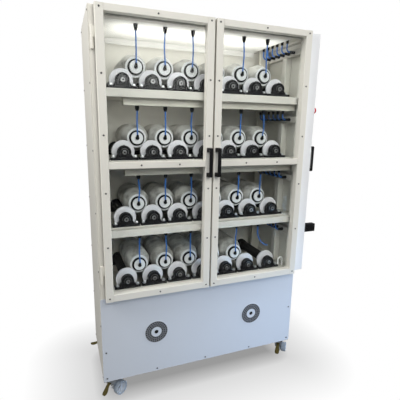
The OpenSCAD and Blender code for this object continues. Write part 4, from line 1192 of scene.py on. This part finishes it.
CAMERA_PLACE = Vector((-0.8337, -2.0423, 1.5926))
CAMERA_RIGHT = Vector((0.93286, -0.35983, 0.01726))
CAMERA_DOWN = Vector((-0.05905, -0.2, -0.97802))


def make_camera():
    """Stands in front of the cabinet's left side, at head height, and looks a little down."""
    right = CAMERA_RIGHT.normalized()
    down = (CAMERA_DOWN - right * CAMERA_DOWN.dot(right)).normalized()
    forward = right.cross(down)
    camera = bpy.data.cameras.new("camera")
    camera.lens = 31.76
    camera.sensor_width = 36
    camera.clip_end = 100
    seat = new_object("camera", camera)
    matrix = axes(right, -down, -forward)
    matrix.translation = CAMERA_PLACE
    seat.matrix_world = matrix
    bpy.context.scene.camera = seat


def lamp(name, place, target, width, height, power, colour=(1, 1, 1), spread=180):
    light = bpy.data.lights.new(name, "AREA")
    light.shape = "RECTANGLE"
    light.size = width
    light.size_y = height
    light.energy = power
    light.color = colour
    light.spread = math.radians(spread)
    piece = new_object(name, light)
    piece.location = place
    piece.rotation_euler = (Vector(target) - Vector(place)).to_track_quat("-Z", "Y").to_euler()
    piece.visible_camera = False
    piece.visible_glossy = False


def soft_patch(tree, place, centre, half, reach):
    """1 inside a rectangle on the floor, falling softly to 0 over the given reach outside it."""
    across = vector_math(tree, "ABSOLUTE", vector_math(tree, "SUBTRACT", place, (*centre, 0)))
    past = vector_math(tree, "MAXIMUM", vector_math(tree, "SUBTRACT", across, (*half, 0)), (0, 0, 0))
    return map_range(tree, vector_math(tree, "LENGTH", past), From_Max=reach, To_Min=1.0, To_Max=0.0)


def make_floor():
    """White floor. The camera sees it white, with a painted soft shadow, like that of a diffuse sky, under
    and before the cabinet; other rays meet a grey diffuse floor.
    """
    bm = bmesh.new()
    bmesh.ops.create_grid(bm, x_segments=1, y_segments=1, size=40)
    mesh = mesh_from(bm, "floor")
    floor = new_object("floor", mesh)
    finish = Finish("pale_floor", (0.28, 0.28, 0.28), 0.9)
    tree = finish.tree
    place = object_coordinates(tree)
    under = (-0.063, 0.045)
    # Painted shadow under the cabinet: a wide soft rectangle and a close one, which lower the white that the
    # camera sees.
    wide = soft_patch(tree, place, under, (0.627, 0.248), 0.45)
    close = soft_patch(tree, place, under, (0.527, 0.148), 0.15)
    painted_shadow = number_math(tree, "MULTIPLY_ADD", close, 0.35, number_math(tree, "MULTIPLY", wide, 0.33))
    shade = number_math(tree, "SUBTRACT", 1.0, painted_shadow)
    floor_with_painted_shadow = add_node(tree, "ShaderNodeEmission", Color=(1, 1, 1, 1), Strength=shade)
    split_rays(tree, "Is Camera Ray", finish.shader, floor_with_painted_shadow)
    mesh.materials.append(finish.material)


def make_world():
    """Soft daylight for the object, and white where the camera sees past it."""
    world = bpy.data.worlds.new("studio")
    bpy.context.scene.world = world
    world.use_nodes = True
    tree = world.node_tree
    soft = tree.nodes["Background"]
    soft.inputs["Color"].default_value = (0.95, 0.97, 1.0, 1)
    soft.inputs["Strength"].default_value = 0.27
    white = add_node(tree, "ShaderNodeBackground", Color=(1, 1, 1, 1), Strength=1.0)
    split_rays(tree, "Is Camera Ray", soft, white, "World Output")


def make_lamps():
    lamp("key", (0.1, -2.8, 2.75), (0.0, -0.1, 1.2), 2.2, 1.6, 49, (1.0, 0.985, 0.95))
    lamp("cool_low", (2.3, -2.2, 0.25), (0.42, -0.2, 0.22), 0.8, 0.8, 2.6, (0.42, 0.66, 1.0), spread=36)
    lamp("right_side", (3.0, -0.4, 1.9), (0.66, 0, 1.3), 1.0, 1.6, 18, (0.96, 0.98, 1.0), spread=70)
    lamp("left_side", (-2.7, -0.7, 3.3), (-0.6, 0, 1.9), 1.5, 1.5, 76, (1.0, 0.98, 0.94))
    over_drums = DRUM_Z[-1] + DRUM_R + 0.01
    lamp("top_tier", (-0.06, 0.03, over_drums), (-0.06, 0.07, ceiling(TIERS - 1)), 1.0, 0.3, 3.0,
         (1.0, 0.985, 0.94), spread=165)
    lamp("third_tier", (-0.35, -0.02, ceiling(2) - 0.07), (-0.35, 0.28, ceiling(2) - 0.14), 0.6, 0.05, 0.19,
         (1.0, 0.97, 0.9))


make_camera()
make_spare_tube()
dress_nodes()
dress_filters_and_lining()
make_rollers()
make_drums()
make_bearings()
make_air_lines()
make_drain_hose()
make_handles()
make_hinge_leaves()
make_door_screws()
make_panel_screws()
make_stop_button()
make_power_inlet()
make_castors()
make_floor()
make_world()
make_lamps()
bpy.context.scene.view_settings.view_transform = "Standard"
